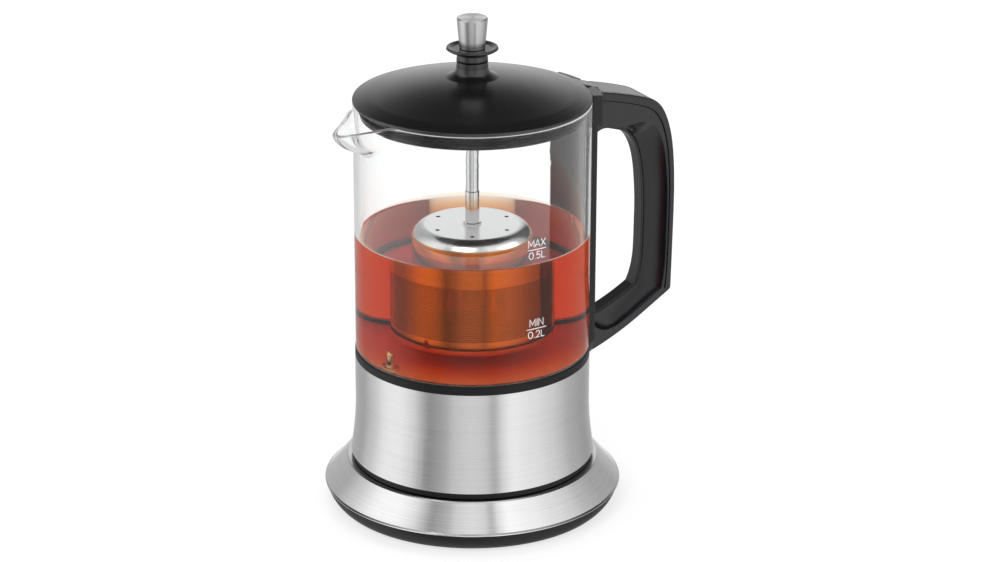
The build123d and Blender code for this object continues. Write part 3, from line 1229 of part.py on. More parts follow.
def basket_lid_line():
    """Section of the basket's lid: flat top, domed shoulder and the skirt inside the basket."""
    lower, skirt_low, under = Z_DISC + DISC_EDGE, Z_DISC - BAYONET_DEPTH, Z_DISC_TOP - SHEET
    rise = DISC_HEIGHT - DISC_EDGE
    inner_edge, inner_top = DISC_EDGE_R - SHEET, DISC_TOP_R - SHEET / 2
    bulge, inner, bore = DISC_EDGE_R - DISC_BULGE, BAYONET_R - SHEET, ROD_R + FIT_GAP
    shoulder = ThreePointArc((DISC_EDGE_R, lower), (bulge, lower + rise * 0.62), (DISC_TOP_R, Z_DISC_TOP))
    inside = ThreePointArc((inner_top, under), (bulge - SHEET, lower + rise * 0.55), (inner_edge, lower))
    return [
        Line((DISC_EDGE_R, Z_DISC), (DISC_EDGE_R, lower)), shoulder,
        Line((DISC_TOP_R, Z_DISC_TOP), (bore, Z_DISC_TOP)),
        Line((bore, Z_DISC_TOP), (bore, under)), Line((bore, under), (inner_top, under)), inside,
        Line((inner_edge, lower), (inner, lower)), Line((inner, lower), (inner, skirt_low)),
        Line((inner, skirt_low), (BAYONET_R, skirt_low)), Line((BAYONET_R, skirt_low), (BAYONET_R, Z_DISC)),
        Line((BAYONET_R, Z_DISC), (DISC_EDGE_R, Z_DISC))]


# ---- basket ----
def basket():
    """The tea basket: a thin cup with rows of sieve holes and three inward lugs."""
    floor_r, wall_r = BASKET_R - BASKET_CORNER, BASKET_R - BASKET_WALL
    floor, bend = Z_BASKET + BASKET_WALL, Z_BASKET + BASKET_CORNER
    corner = BASKET_CORNER - BASKET_WALL
    outer_bend = (BASKET_R - BASKET_CORNER * 0.293, Z_BASKET + BASKET_CORNER * 0.293)
    outer = ThreePointArc((floor_r, Z_BASKET), outer_bend, (BASKET_R, bend))
    inner = ThreePointArc((wall_r, bend), (floor_r + corner * 0.707, bend - corner * 0.707), (floor_r, floor))
    edges = [
        Line((0, Z_BASKET), (floor_r, Z_BASKET)), outer, Line((BASKET_R, bend), (BASKET_R, Z_BASKET_RIM)),
        Line((BASKET_R, Z_BASKET_RIM), (wall_r, Z_BASKET_RIM)),
        Line((wall_r, Z_BASKET_RIM), (wall_r, bend)), inner,
        Line((floor_r, floor), (0, floor)), Line((0, floor), (0, Z_BASKET))]
    cup = revolve(make_face([Plane.XZ * edge for edge in edges]), Axis.Z)
    lug = along_x(LUG_R, BAYONET_R - SHEET, BASKET_R - BASKET_WALL / 2, 0, Z_BASKET_RIM - LUG_DROP)
    for i in range(LUGS):
        cup += Rot(0, 0, 360.0 * i / LUGS) * lug
    return cup


MODEL = {
    "foot_ring": foot_ring,
    "base_tray": base_tray,
    "base_trim": base_trim,
    "base_deck": base_deck,
    "base_screws": base_screws,
    "socket_collar": socket_collar,
    "base_socket": base_socket,
    "socket_contacts": socket_contacts,
    "cable_bush": cable_bush,
    "jug_cap": jug_cap,
    "jug_screws": jug_screws,
    "steel_body": steel_body,
    "inner_frame": inner_frame,
    "collar_ring": collar_ring,
    "floor_plate": floor_plate,
    "floor_seal": floor_seal,
    "heat_spreader": heat_spreader,
    "heating_element": heating_element,
    "control_unit": control_unit,
    "plug_contacts": plug_contacts,
    "cutout_discs": cutout_discs,
    "control_board": control_board,
    "temperature_probe": temperature_probe,
    "probe_nut": probe_nut,
    "power_bezel": power_bezel,
    "power_button": power_button,
    "micro_switch": micro_switch,
    "glass_jug": glass_jug,
    "handle_body": handle_body,
    "handle_cover": handle_cover,
    "handle_pad": handle_pad,
    "grip_liner": grip_liner,
    "handle_screws": handle_screws,
    "lid_button": lid_button,
    "button_spring": button_spring,
    "lid_cover": lid_cover,
    "lid_skirt": lid_skirt,
    "lid_seal": lid_seal,
    "lid_bush": lid_bush,
    "lid_screws": lid_screws,
    "pull_collar": pull_collar,
    "knob": knob,
    "rod": rod,
    "rod_sleeve": rod_sleeve,
    "rod_nut": rod_nut,
    "basket_lid": basket_lid,
    "basket": basket,
}

os.makedirs("parts", exist_ok=True)
for node, make in MODEL.items():
    shape = make()
    if isinstance(shape, list):
        shape = Compound(children=shape)
    export_step(shape, f"parts/{node}.step")
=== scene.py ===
"""Looks of the automatic tea maker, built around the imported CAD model.

The scene is in metres with +Z up. Pieces drawn here are written in millimetres and scaled by MM.
"""
import json
from math import cos, pi, radians, sin

import bpy
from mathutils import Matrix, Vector


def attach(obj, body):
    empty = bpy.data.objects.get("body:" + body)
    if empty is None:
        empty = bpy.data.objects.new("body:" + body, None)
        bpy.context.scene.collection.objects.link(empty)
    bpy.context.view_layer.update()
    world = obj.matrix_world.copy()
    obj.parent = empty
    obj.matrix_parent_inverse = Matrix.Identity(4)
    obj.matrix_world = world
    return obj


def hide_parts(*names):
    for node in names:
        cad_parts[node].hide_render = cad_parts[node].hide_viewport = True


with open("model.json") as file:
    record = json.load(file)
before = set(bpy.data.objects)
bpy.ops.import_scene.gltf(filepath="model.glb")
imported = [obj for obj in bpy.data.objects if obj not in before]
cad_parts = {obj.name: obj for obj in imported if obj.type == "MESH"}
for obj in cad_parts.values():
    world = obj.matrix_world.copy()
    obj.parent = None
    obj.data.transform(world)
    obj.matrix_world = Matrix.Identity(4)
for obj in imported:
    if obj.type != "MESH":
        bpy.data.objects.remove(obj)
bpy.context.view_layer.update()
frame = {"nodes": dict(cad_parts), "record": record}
MM = 0.001
MICRON = 0.000001


# ---- camera ----
# It stands at the photograph's angle: towards the lip, over the steel foot.
VIEW_DEG = -27.5
VIEW_RISE_DEG = 21.208
VIEW_DISTANCE = 1.43237
VIEW_HEIGHT = 0.0988
LENS_MM = 114.17
SENSOR_MM = 36
FRAME_SHIFT = (0.0277, 0.0124)


def add_camera():
    """The photograph's camera."""
    turn, rise = radians(VIEW_DEG), radians(VIEW_RISE_DEG)
    away = Vector((sin(turn) * cos(rise), -cos(turn) * cos(rise), sin(rise)))
    data = bpy.data.cameras.new("camera")
    data.lens = LENS_MM
    data.sensor_width = SENSOR_MM
    data.shift_x, data.shift_y = FRAME_SHIFT
    camera = bpy.data.objects.new("camera", data)
    camera.location = Vector((0, 0, VIEW_HEIGHT)) + away * VIEW_DISTANCE
    camera.rotation_euler = (-away).to_track_quat("-Z", "Y").to_euler()
    bpy.context.scene.collection.objects.link(camera)
    bpy.context.scene.camera = camera


# ---- shader nodes ----
def node(tree, kind, **settings):
    """A new shader node with its settings."""
    made = tree.nodes.new(kind)
    for key, value in settings.items():
        setattr(made, key, value)
    return made


def value_of(tree, operation, *inputs):
    """A math node; numbers are set on it and sockets are linked to it."""
    made = node(tree, "ShaderNodeMath", operation=operation)
    for place, given in enumerate(inputs):
        if isinstance(given, (int, float)):
            made.inputs[place].default_value = given
        else:
            tree.links.new(given, made.inputs[place])
    return made.outputs[0]


def above(tree, count, number):
    """1 where a count of bounces is above a whole number, else 0."""
    return value_of(tree, "GREATER_THAN", count, number + 0.5)


def ramp_of(tree, factor, stops, interpolation="EASE"):
    """A colour ramp of greys or colours over a factor."""
    made = node(tree, "ShaderNodeValToRGB")
    made.color_ramp.interpolation = interpolation
    elements = made.color_ramp.elements
    while len(elements) < len(stops):
        elements.new(0.5)
    for element, (place, tone) in zip(elements, stops):
        element.position = place
        element.color = (tone, tone, tone, 1) if isinstance(tone, (int, float)) else (*tone, 1)
    tree.links.new(factor, made.inputs["Fac"])
    return made.outputs["Color"]


def part_of(tree, vector, axis):
    """One component of a vector socket."""
    made = node(tree, "ShaderNodeSeparateXYZ")
    tree.links.new(vector, made.inputs[0])
    return made.outputs[axis]


def background(tree, colour, strength):
    """World light of a plain colour or of a colour socket."""
    made = node(tree, "ShaderNodeBackground")
    made.inputs["Strength"].default_value = strength
    if isinstance(colour, tuple):
        made.inputs["Color"].default_value = (*colour, 1)
    else:
        tree.links.new(colour, made.inputs["Color"])
    return made.outputs[0]


def mixed(tree, factor, first, second):
    """The first shader where the factor is 0, the second where it is 1."""
    made = node(tree, "ShaderNodeMixShader")
    for place, socket in enumerate((factor, first, second)):
        tree.links.new(socket, made.inputs[place])
    return made.outputs[0]


# ---- studio ----
# Soft boxes and flags round the object: degrees to the right of the camera's direction, brightness.
STUDIO = [
    (-180, 1.0), (-158, 0.50), (-132, 0.45), (-115, 0.70), (-90, 1.09), (-75, 1.09),
    (-60, 0.88), (-51, 0.56), (-43, 0.30), (-34, 0.42), (-26, 0.50), (-18, 0.72),
    (0, 0.82), (13, 0.76), (21, 0.46), (29, 0.90), (38, 1.13), (60, 1.0),
    (83, 0.83), (95, 0.70), (107, 0.53), (140, 0.40), (158, 0.50), (180, 1.0),
]
# Brightness behind the object over the height of a direction, from straight down to straight up:
# the studio is dark above the white backdrop.
BACKDROP = [(0.0, 1.0), (0.60, 1.0), (0.68, 0.80), (0.76, 0.25), (0.84, 0.05), (1.0, 0.03)]
# Where BACKDROP counts, over a full turn that starts behind the object: 1 behind it, 0 elsewhere.
BEHIND = [(0.13, 1), (0.20, 0), (0.80, 0), (0.87, 1)]
WHITE = (1, 1, 1)
ROOM_COLOUR, ROOM_STRENGTH = (0.96, 0.98, 1.0), 0.5
GATHERED_COLOUR, GATHERED_STRENGTH = (1.0, 0.48, 0.28), 5.5
# Skins of glass and tea that such gathered light crosses: the middle of the range, and its reach.
GATHERED_SKINS, GATHERED_REACH = 5.5, 1.0
# What is mirrored in the jug is paler where the light has crossed fewer skins than this, or was
# mirrored more than once.
NEAR_SKINS = 2.5
PALE_SHARE, PALE_BRIGHTNESS = 0.7, 0.8


def studio_tone(tree, shallow):
    """Grey of the studio in each direction; shallow is 0 for what is mirrored deep in the full jug."""
    direction = node(tree, "ShaderNodeTexCoord").outputs["Generated"]
    turn = radians(VIEW_DEG)
    sides = []
    for axis in ((cos(turn), sin(turn), 0), (sin(turn), -cos(turn), 0)):
        dot = node(tree, "ShaderNodeVectorMath", operation="DOT_PRODUCT")
        tree.links.new(direction, dot.inputs[0])
        dot.inputs[1].default_value = axis
        sides.append(dot.outputs["Value"])
    angle = value_of(tree, "ARCTAN2", sides[0], sides[1])
    share = value_of(tree, "MULTIPLY_ADD", angle, 1 / (2 * pi), 0.5)
    bands = ramp_of(tree, share, [((a + 180) / 360, tone) for a, tone in STUDIO])
    height = value_of(tree, "MULTIPLY_ADD", part_of(tree, direction, "Z"), 0.5, 0.5)
    behind = value_of(tree, "MULTIPLY", ramp_of(tree, share, BEHIND), shallow)
    tone = node(tree, "ShaderNodeMix", data_type="RGBA", blend_type="MULTIPLY")
    tree.links.new(behind, tone.inputs[0])
    tree.links.new(bands, tone.inputs[6])
    tree.links.new(ramp_of(tree, height, BACKDROP), tone.inputs[7])
    return tone.outputs[2]


def mirrored_light(tree, path):
    """What glossy faces mirror: the studio, paler in the jug's near wall and where it mirrors twice."""
    skins, mirrorings = path["Transmission Depth"], path["Glossy Depth"]
    shallow = value_of(tree, "LESS_THAN", skins, NEAR_SKINS)
    studio = background(tree, studio_tone(tree, shallow), 1.0)
    inside = above(tree, skins, 0)
    again = above(tree, mirrorings, 1)
    pale = value_of(tree, "MULTIPLY", inside, value_of(tree, "MAXIMUM", shallow, again))
    pale = value_of(tree, "MULTIPLY", pale, PALE_SHARE)
    return mixed(tree, pale, studio, background(tree, WHITE, PALE_BRIGHTNESS))


def room_light(tree, path, scattered):
    """What matt faces receive: a soft room, and amber light that the full jug gathers on its floor."""
    room = background(tree, ROOM_COLOUR, ROOM_STRENGTH)
    skins = value_of(tree, "COMPARE", path["Transmission Depth"], GATHERED_SKINS, GATHERED_REACH)
    gathered = value_of(tree, "MULTIPLY", scattered, path["Is Transmission Ray"])
    gathered = value_of(tree, "MULTIPLY", gathered, skins)
    return mixed(tree, gathered, room, background(tree, GATHERED_COLOUR, GATHERED_STRENGTH))


def add_world():
    """White behind the object, a room for its matt faces and a studio for its glossy ones."""
    world = bpy.data.worlds.new("studio")
    bpy.context.scene.world = world
    world.use_nodes = True
    tree = world.node_tree
    tree.nodes.clear()
    path = node(tree, "ShaderNodeLightPath").outputs
    scattered = above(tree, path["Diffuse Depth"], 0)
    direct = value_of(tree, "SUBTRACT", 1.0, scattered)
    seen = value_of(tree, "MAXIMUM", path["Is Camera Ray"], path["Is Transmission Ray"])
    seen = value_of(tree, "MULTIPLY", seen, direct)
    reflected = above(tree, path["Glossy Depth"], 0)
    reflected = value_of(tree, "MULTIPLY", reflected, direct)
    shown = mixed(tree, seen, room_light(tree, path, scattered), background(tree, WHITE, 1.0))
    shown = mixed(tree, reflected, shown, mirrored_light(tree, path))
    out = node(tree, "ShaderNodeOutputWorld")
    tree.links.new(shown, out.inputs["Surface"])


FLOOR_HALF = 6.0
SHADOW_GREY = 0.34       # takes the shadow, where the floor is seen
BOUNCE_GREY = 0.8        # lights the object from below
# Glow of the seen floor over its distance: it grows to the white of the world behind it.
FLOOR_GLOW = [(0.05, 0.72), (0.35, 1.0)]


def diffuse(tree, grey):
    """A matt shader of one grey."""
    made = node(tree, "ShaderNodeBsdfDiffuse")
    made.inputs["Color"].default_value = (grey, grey, grey, 1)
    return made.outputs[0]


def floor_material():
    """White where it is seen, plain where it lights the object, open to what the object mirrors."""
    material = bpy.data.materials.new("floor_white")
    material.use_nodes = True
    tree = material.node_tree
    tree.nodes.clear()
    path = node(tree, "ShaderNodeLightPath").outputs
    far = node(tree, "ShaderNodeVectorMath", operation="LENGTH")
    tree.links.new(node(tree, "ShaderNodeTexCoord").outputs["Object"], far.inputs[0])
    glow = node(tree, "ShaderNodeEmission")
    share = value_of(tree, "DIVIDE", far.outputs["Value"], FLOOR_HALF)
    tree.links.new(ramp_of(tree, share, FLOOR_GLOW), glow.inputs["Color"])
    white = node(tree, "ShaderNodeAddShader")
    tree.links.new(diffuse(tree, SHADOW_GREY), white.inputs[0])
    tree.links.new(glow.outputs[0], white.inputs[1])
    seen = value_of(tree, "MAXIMUM", path["Is Camera Ray"], path["Is Glossy Ray"])
    seen = value_of(tree, "MAXIMUM", seen, path["Is Transmission Ray"])
    shown = mixed(tree, seen, diffuse(tree, BOUNCE_GREY), white.outputs[0])
    mirrored = above(tree, path["Glossy Depth"], 0)
    shown = mixed(tree, mirrored, shown, node(tree, "ShaderNodeBsdfTransparent").outputs[0])
    out = node(tree, "ShaderNodeOutputMaterial")
    tree.links.new(shown, out.inputs["Surface"])
    return material


def add_floor():
    """A plain white floor that keeps the object's soft shadow."""
    mesh = bpy.data.meshes.new("floor")
    corners = [(x * FLOOR_HALF, y * FLOOR_HALF, 0) for x, y in ((-1, -1), (1, -1), (1, 1), (-1, 1))]
    mesh.from_pydata(corners, [], [(0, 1, 2, 3)])
    mesh.materials.append(floor_material())
    floor = bpy.data.objects.new("floor", mesh)
    bpy.context.scene.collection.objects.link(floor)
    floor.visible_glossy = False


# Name, place, width and watts of each lamp, and the point that they all look at.
LAMPS = [
    ("key", (-1.1, -1.0, 1.5), 1.0, 14),
    ("fill", (1.5, -1.2, 1.0), 1.2, 10),
    ("top", (0.1, 0.5, 1.8), 1.4, 12),
]
LAMP_AIM = Vector((0, 0, 0.1))


def add_lamp(name, place, size, power):
    """A large soft lamp that looks at the jug."""
    data = bpy.data.lights.new(name, "AREA")
    data.size = size
    data.energy = power
    lamp = bpy.data.objects.new(name, data)
    lamp.location = place
    lamp.rotation_euler = (LAMP_AIM - Vector(place)).to_track_quat("-Z", "Y").to_euler()
    bpy.context.scene.collection.objects.link(lamp)
    lamp.visible_glossy = False


# ---- materials ----
# The tea reaches a little into the glass and the floor plate, so that no air shows between them.
TEA_R = 50.76
TEA_FLOOR = 74.05
TEA_LEVEL = 128.7
TEA_SKIN = 0.5           # depth of the level's own gloss
TEA_SIDE_GLOSS, TEA_TOP_GLOSS = 0.4, 1.0


def new_material(name):
    """A material with its node tree and its main shader."""
    material = bpy.data.materials.new(name)
    material.use_nodes = True
    tree = material.node_tree
    return material, tree, tree.nodes["Principled BSDF"]


def noise_of(tree, scale, detail=3.0, stretch=(1, 1, 1)):
    """Noise over the object's own coordinates, stretched along the axes."""
    coordinates = node(tree, "ShaderNodeTexCoord")
    mapping = node(tree, "ShaderNodeMapping")
    mapping.inputs["Scale"].default_value = stretch
    noise = node(tree, "ShaderNodeTexNoise")
    noise.inputs["Scale"].default_value = scale
    noise.inputs["Detail"].default_value = detail
    tree.links.new(coordinates.outputs["Object"], mapping.inputs["Vector"])
    tree.links.new(mapping.outputs[0], noise.inputs["Vector"])
    return noise.outputs["Fac"]


def add_bump(tree, shader, height, depth, strength=1.0, edge=0.0):
    """Surface relief, depth in microns, with edges softened over a radius in millimetres."""
    bump = node(tree, "ShaderNodeBump")
    if edge:
        bevel = node(tree, "ShaderNodeBevel", samples=6)
        bevel.inputs["Radius"].default_value = edge * MM
        tree.links.new(bevel.outputs[0], bump.inputs["Normal"])
    bump.inputs["Strength"].default_value = strength
    bump.inputs["Distance"].default_value = depth * MICRON
    tree.links.new(height, bump.inputs["Height"])
    tree.links.new(bump.outputs[0], shader.inputs["Normal"])


NOISE_LOW, NOISE_HIGH = 0.3, 0.7     # the range that most of a noise lies in


def spread(tree, factor, low, high):
    """A value between low and high over a noise."""
    made = node(tree, "ShaderNodeMapRange")
    made.inputs["From Min"].default_value = NOISE_LOW
    made.inputs["From Max"].default_value = NOISE_HIGH
    made.inputs["To Min"].default_value = low
    made.inputs["To Max"].default_value = high
    tree.links.new(factor, made.inputs["Value"])
    return made.outputs[0]


def tinted(tree, factor, colour, darker, lighter):
    """A colour that sways between a darker and a lighter shade over a noise."""
    dark = tuple(c * darker for c in colour)
    light = tuple(min(1, c * lighter) for c in colour)
    return ramp_of(tree, factor, [(NOISE_LOW, dark), (NOISE_HIGH, light)], "LINEAR")


CLOUD_SCALE = 60         # slow changes of shade in a moulding, per metre
GLOSS_SCALE = 900        # faster changes of its gloss
MOULDED_SHADES = (0.93, 1.06)
MOULDED_SMOOTHER, MOULDED_ROUGHER = 0.015, 0.02
STEEL_SMOOTHER, STEEL_ROUGHER = 0.85, 1.2


def moulded(name, colour, roughness, grain=2600, depth=12, edge=0.0, gloss=0.5):
    """Moulded plastic or rubber with a fine grain (per metre) and slightly uneven gloss."""
    material, tree, shader = new_material(name)
    shade = tinted(tree, noise_of(tree, CLOUD_SCALE), colour, *MOULDED_SHADES)
    tree.links.new(shade, shader.inputs["Base Color"])
    smoothest, roughest = roughness - MOULDED_SMOOTHER, roughness + MOULDED_ROUGHER
    uneven = spread(tree, noise_of(tree, GLOSS_SCALE), smoothest, roughest)
    tree.links.new(uneven, shader.inputs["Roughness"])
    shader.inputs["Specular IOR Level"].default_value = gloss
    add_bump(tree, shader, noise_of(tree, grain, 2.0), depth, edge=edge)
    return material


def steel(name, colour, roughness, streaks, depth=4, anisotropy=0.0, contrast=0.06, metal=1.0):
    """Steel with fine streaks: brushed round the axis, turned or polished."""
    material, tree, shader = new_material(name)
    shader.inputs["Metallic"].default_value = metal
    lines = noise_of(tree, 1.0, 4.0, streaks)
    shade = tinted(tree, lines, colour, 1 - contrast, 1 + contrast)
    tree.links.new(shade, shader.inputs["Base Color"])
    uneven = spread(tree, lines, roughness * STEEL_SMOOTHER, roughness * STEEL_ROUGHER)
    tree.links.new(uneven, shader.inputs["Roughness"])
    if anisotropy:
        shader.inputs["Anisotropic"].default_value = anisotropy
        shader.inputs["Anisotropic Rotation"].default_value = 0.25
        tangent = node(tree, "ShaderNodeTangent", direction_type="RADIAL", axis="Z")
        tree.links.new(tangent.outputs[0], shader.inputs["Tangent"])
    add_bump(tree, shader, lines, depth)
    return material


# Painted highlights and shade: light and dark streaks that the thick glass glows with, over the lean of its
# surface from down to up.
PAINTED_RIM_GLOW = [
    (0.0, 0.60), (0.25, 0.20), (0.44, 0.16), (0.50, 0.75),
    (0.58, 0.14), (0.72, 0.85), (0.86, 0.35), (1.0, 0.85),
]


def trapped_light(tree, clear):
    """Replaces light that has run along inside the glass for long by a glow of painted light and dark
    streaks.
    """
    glow = node(tree, "ShaderNodeEmission")
    lean = part_of(tree, node(tree, "ShaderNodeNewGeometry").outputs["Normal"], "Z")
    share = value_of(tree, "MULTIPLY_ADD", lean, 0.5, 0.5)
    tree.links.new(ramp_of(tree, share, PAINTED_RIM_GLOW), glow.inputs["Color"])
    path = node(tree, "ShaderNodeLightPath").outputs
    deep = above(tree, path["Ray Depth"], 7)
    trapped = above(tree, path["Glossy Depth"], 1)
    return mixed(tree, value_of(tree, "MAXIMUM", deep, trapped), clear, glow.outputs[0])


def clear_glass():
    """Clear jug glass with the faint waviness of blown glass."""
    material, tree, shader = new_material("jug_glass_clear")
    shader.inputs["Base Color"].default_value = (0.985, 0.99, 0.988, 1)
    shader.inputs["Transmission Weight"].default_value = 1
    shader.inputs["Roughness"].default_value = 0
    shader.inputs["IOR"].default_value = 1.47
    shader.inputs["Specular Tint"].default_value = (0.25, 0.25, 0.25, 1)
    add_bump(tree, shader, noise_of(tree, 22, 1.0), 30, 0.3, edge=0.7)
    out = tree.nodes["Material Output"]
    # The glass glows with painted highlights and shade where light has run inside it for long.
    tree.links.new(trapped_light(tree, shader.outputs[0]), out.inputs["Surface"])
    return material


def brewed_tea():
    """Clear amber tea: it takes its colour over the depth of the liquid, and its level mirrors most."""
    material, tree, shader = new_material("brewed_tea")
    shader.inputs["Base Color"].default_value = (1.0, 0.93, 0.86, 1)
    shader.inputs["Transmission Weight"].default_value = 1
    shader.inputs["Roughness"].default_value = 0
    shader.inputs["IOR"].default_value = 1.33
    height = part_of(tree, node(tree, "ShaderNodeTexCoord").outputs["Object"], "Z")
    top = value_of(tree, "GREATER_THAN", height, (TEA_LEVEL - TEA_SKIN) * MM)
    gloss = ramp_of(tree, top, [(0.0, TEA_SIDE_GLOSS), (1.0, TEA_TOP_GLOSS)], "LINEAR")
    tree.links.new(gloss, shader.inputs["Specular Tint"])
    add_bump(tree, shader, noise_of(tree, 30, 1.0), 40, 0.3)
    volume = node(tree, "ShaderNodeVolumeAbsorption")
    volume.inputs["Color"].default_value = (0.91, 0.53, 0.05, 1)
    volume.inputs["Density"].default_value = 85
    tree.links.new(volume.outputs[0], tree.nodes["Material Output"].inputs["Volume"])
    return material


# Streaks per metre along x, y and z.
BRUSHED = (14, 14, 5200)
TURNED = (60, 60, 5000)
MATERIALS = {
    "foot_rubber": moulded("foot_rubber_matt", (0.03, 0.03, 0.03), 0.75, 1500, 30),
    "base_plastic": moulded("base_plastic_satin", (0.008, 0.008, 0.009), 0.40, gloss=0.25),
    "brushed_steel": steel("steel_brushed_round", (0.75, 0.75, 0.755), 0.24, BRUSHED, 1.2, 0.85, 0.08),
    "screw_steel": steel("screw_zinc", (0.55, 0.55, 0.56), 0.35, (900, 900, 900)),
    "socket_plastic": moulded("socket_heatproof", (0.05, 0.05, 0.05), 0.55),
    "contact_brass": steel("brass_plain", (0.72, 0.52, 0.22), 0.28, (600, 600, 600)),
    "frame_plastic": moulded("frame_natural", (0.60, 0.57, 0.50), 0.5),
    "polished_steel": steel("steel_polished", (0.74, 0.74, 0.745), 0.12, (120, 120, 700), 1, contrast=0.03),
    "black_seal": moulded("seal_silicone", (0.014, 0.015, 0.016), 0.5, gloss=0.25),
    "spreader_aluminium": steel("aluminium_plain", (0.7, 0.7, 0.71), 0.38, (400, 400, 400)),
    "board_green": moulded("board_coated", (0.04, 0.2, 0.08), 0.35, 900),
    "jug_glass": clear_glass(),
    "handle_plastic": moulded("handle_satin", (0.008, 0.008, 0.0105), 0.23, 1400, 3, edge=0.9, gloss=0.6),
    "pad_grey": moulded("pad_matt", (0.14, 0.14, 0.15), 0.6),
    "grip_rubber": moulded("grip_soft", (0.012, 0.012, 0.0135), 0.34, 1800, 6, edge=0.8, gloss=0.6),
    "button_plastic": moulded("button_satin", (0.085, 0.085, 0.09), 0.28, edge=0.9, gloss=0.7),
    "lid_plastic": moulded("lid_satin", (0.0055, 0.0055, 0.006), 0.25, 1400, 2, edge=1.0, gloss=1.0),
    "skirt_plastic": moulded("skirt_smooth", (0.006, 0.006, 0.0065), 0.16, 900, 3),
    "knob_steel": steel("steel_turned", (0.64, 0.64, 0.645), 0.26, TURNED, 1.2, 0.8, 0.08),
    "basket_steel": steel("steel_etched", (0.82, 0.82, 0.82), 0.12, (40, 40, 400), 0.3, contrast=0.03),
    "print_white": moulded("mark_white", (0.93, 0.93, 0.93), 0.4, 1500, 4),
}
# Pieces whose finish differs from their slot's usual one.
OWN_FINISH = {
    "floor_plate": steel("steel_floor_matt", (0.80, 0.74, 0.72), 0.45, (60, 60, 900), 0.3,
                         contrast=0.04, metal=0.4),
    "base_trim": steel("steel_flare", (0.86, 0.86, 0.865), 0.15, BRUSHED, 1.2, 0.8, 0.08),
    "basket_lid": steel("steel_pressed", (0.80, 0.80, 0.80), 0.24, (90, 90, 500), 0.6, contrast=0.02),
}
# The inside of the basket and of its holes, painted dark brown as shade so that the holes read dark.
PAINTED_SHADE_INSIDE = steel("steel_painted_shade_inside", (0.10, 0.06, 0.035), 0.35, (200, 200, 200), 1, contrast=0.2)


def dress_nodes():
    """Gives every CAD node the material of its slot, or its own finish."""
    for part in frame["record"]["subparts"]:
        mesh = frame["nodes"][part["node"]].data
        mesh.materials.clear()
        mesh.materials.append(OWN_FINISH.get(part["node"], MATERIALS[part["material_slot"]]))


# ---- pieces ----
def add_piece(name, vertices, faces, material, body, smooth=True):
    """A mesh piece that rides on a body."""
    mesh = bpy.data.meshes.new(name)
    mesh.from_pydata(vertices, [], faces)
    mesh.validate()
    mesh.update()
    if smooth:
        mesh.shade_smooth()
    piece = bpy.data.objects.new(name, mesh)
    bpy.context.scene.collection.objects.link(piece)
    mesh.materials.append(material)
    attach(piece, body)
    return piece


def round_point(r, angle, z):
    """A point in metres at a radius, an angle and a height; the lengths are in millimetres."""
    return (r * cos(angle) * MM, r * sin(angle) * MM, z * MM)


RIM_ROUNDING = 0.8
RIM_SHARP_DEG = 50


def polish_rim():
    """Fire-polished, rounded edges on the glass."""
    rounding = frame["nodes"]["glass_jug"].modifiers.new("rim", "BEVEL")
    rounding.width = RIM_ROUNDING * MM
    rounding.segments = 3
    rounding.limit_method = "ANGLE"
    rounding.angle_limit = radians(RIM_SHARP_DEG)
    rounding.harden_normals = True


# ---- tea ----
def turned(profile, segments):
    """Vertices and faces of a solid turned about Z; a profile point on the axis is shared."""
    vertices, rings = [], []
    for r, z in profile:
        if r == 0:
            rings.append([len(vertices)] * segments)
            vertices.append((0, 0, z * MM))
            continue
        rings.append(list(range(len(vertices), len(vertices) + segments)))
        vertices += [round_point(r, 2 * pi * i / segments, z) for i in range(segments)]
    faces = []
    for low, high in zip(rings, rings[1:]):
        for i in range(segments):
            j = (i + 1) % segments
            face = [low[i], low[j], high[j], high[i]]
            faces.append([v for k, v in enumerate(face) if v != face[k - 1]])
    return vertices, faces


TEA_SEGMENTS = 240
TEA_SHARP_DEG = 35
# How far in from the tea's side and how far up from its floor the points of its lower corner lie.
TEA_CORNER = [(2.2, 0.0), (2.0, 0.0), (1.1, 0.3), (0.4, 0.9), (0.0, 1.8), (0.0, 2.1)]
# The same for the meniscus, up from the tea's level.
MENISCUS = [
    (0.0, 0.9), (0.0, 1.1), (0.12, 0.8), (0.35, 0.5), (0.7, 0.27),
    (1.2, 0.12), (1.8, 0.04), (2.6, 0.0), (2.9, 0.0),
]


def add_tea():
    """The tea in the jug, with its meniscus at the glass."""
    profile = [(0, TEA_FLOOR)]
    profile += [(TEA_R - back, TEA_FLOOR + up) for back, up in TEA_CORNER]
    profile += [(TEA_R - back, TEA_LEVEL + up) for back, up in MENISCUS]
    profile += [(0, TEA_LEVEL)]
    vertices, faces = turned(profile, TEA_SEGMENTS)
    tea = add_piece("tea", vertices, faces, brewed_tea(), "jug")
    tea.data.set_sharp_from_angle(angle=radians(TEA_SHARP_DEG))


# ---- basket ----
SIEVE_COLUMNS = 140
SIEVE_ROWS = 26
SIEVE_LOW, SIEVE_HIGH = 88.3, 113.7
SIEVE_STEP = (SIEVE_HIGH - SIEVE_LOW) / SIEVE_ROWS
SIEVE_HOLE_R = 0.42
HOLE_SHAPE = [(-0.866, -0.5), (0, -1), (0.866, -0.5), (0.866, 0.5), (0, 1), (-0.866, 0.5)]
HOLE_SIDES = len(HOLE_SHAPE)
ROUND = SIEVE_COLUMNS * 2      # points of a ring: one at each hole and one between two holes
BASKET_R = 27.0
BASKET_WALL = 0.6
BASKET_LOW, BASKET_RIM = 80.9, 124.2
BASKET_CORNER = 3.5
CORNER_STEPS = 6
BAND_BELOW_RIM = 0.9
RIM_SOFTENING = 0.12
LUG_TURNS = (0, 120, 240)
LUG_BELOW_RIM = 3.0
LUG_SIDES = 20
# Distance from the basket's axis, and radius, of each section of a lug.
LUG_SECTIONS = [(26.6, 1.0), (25.5, 1.0), (25.3, 0.8)]
BASKET_SHARP_DEG = 40


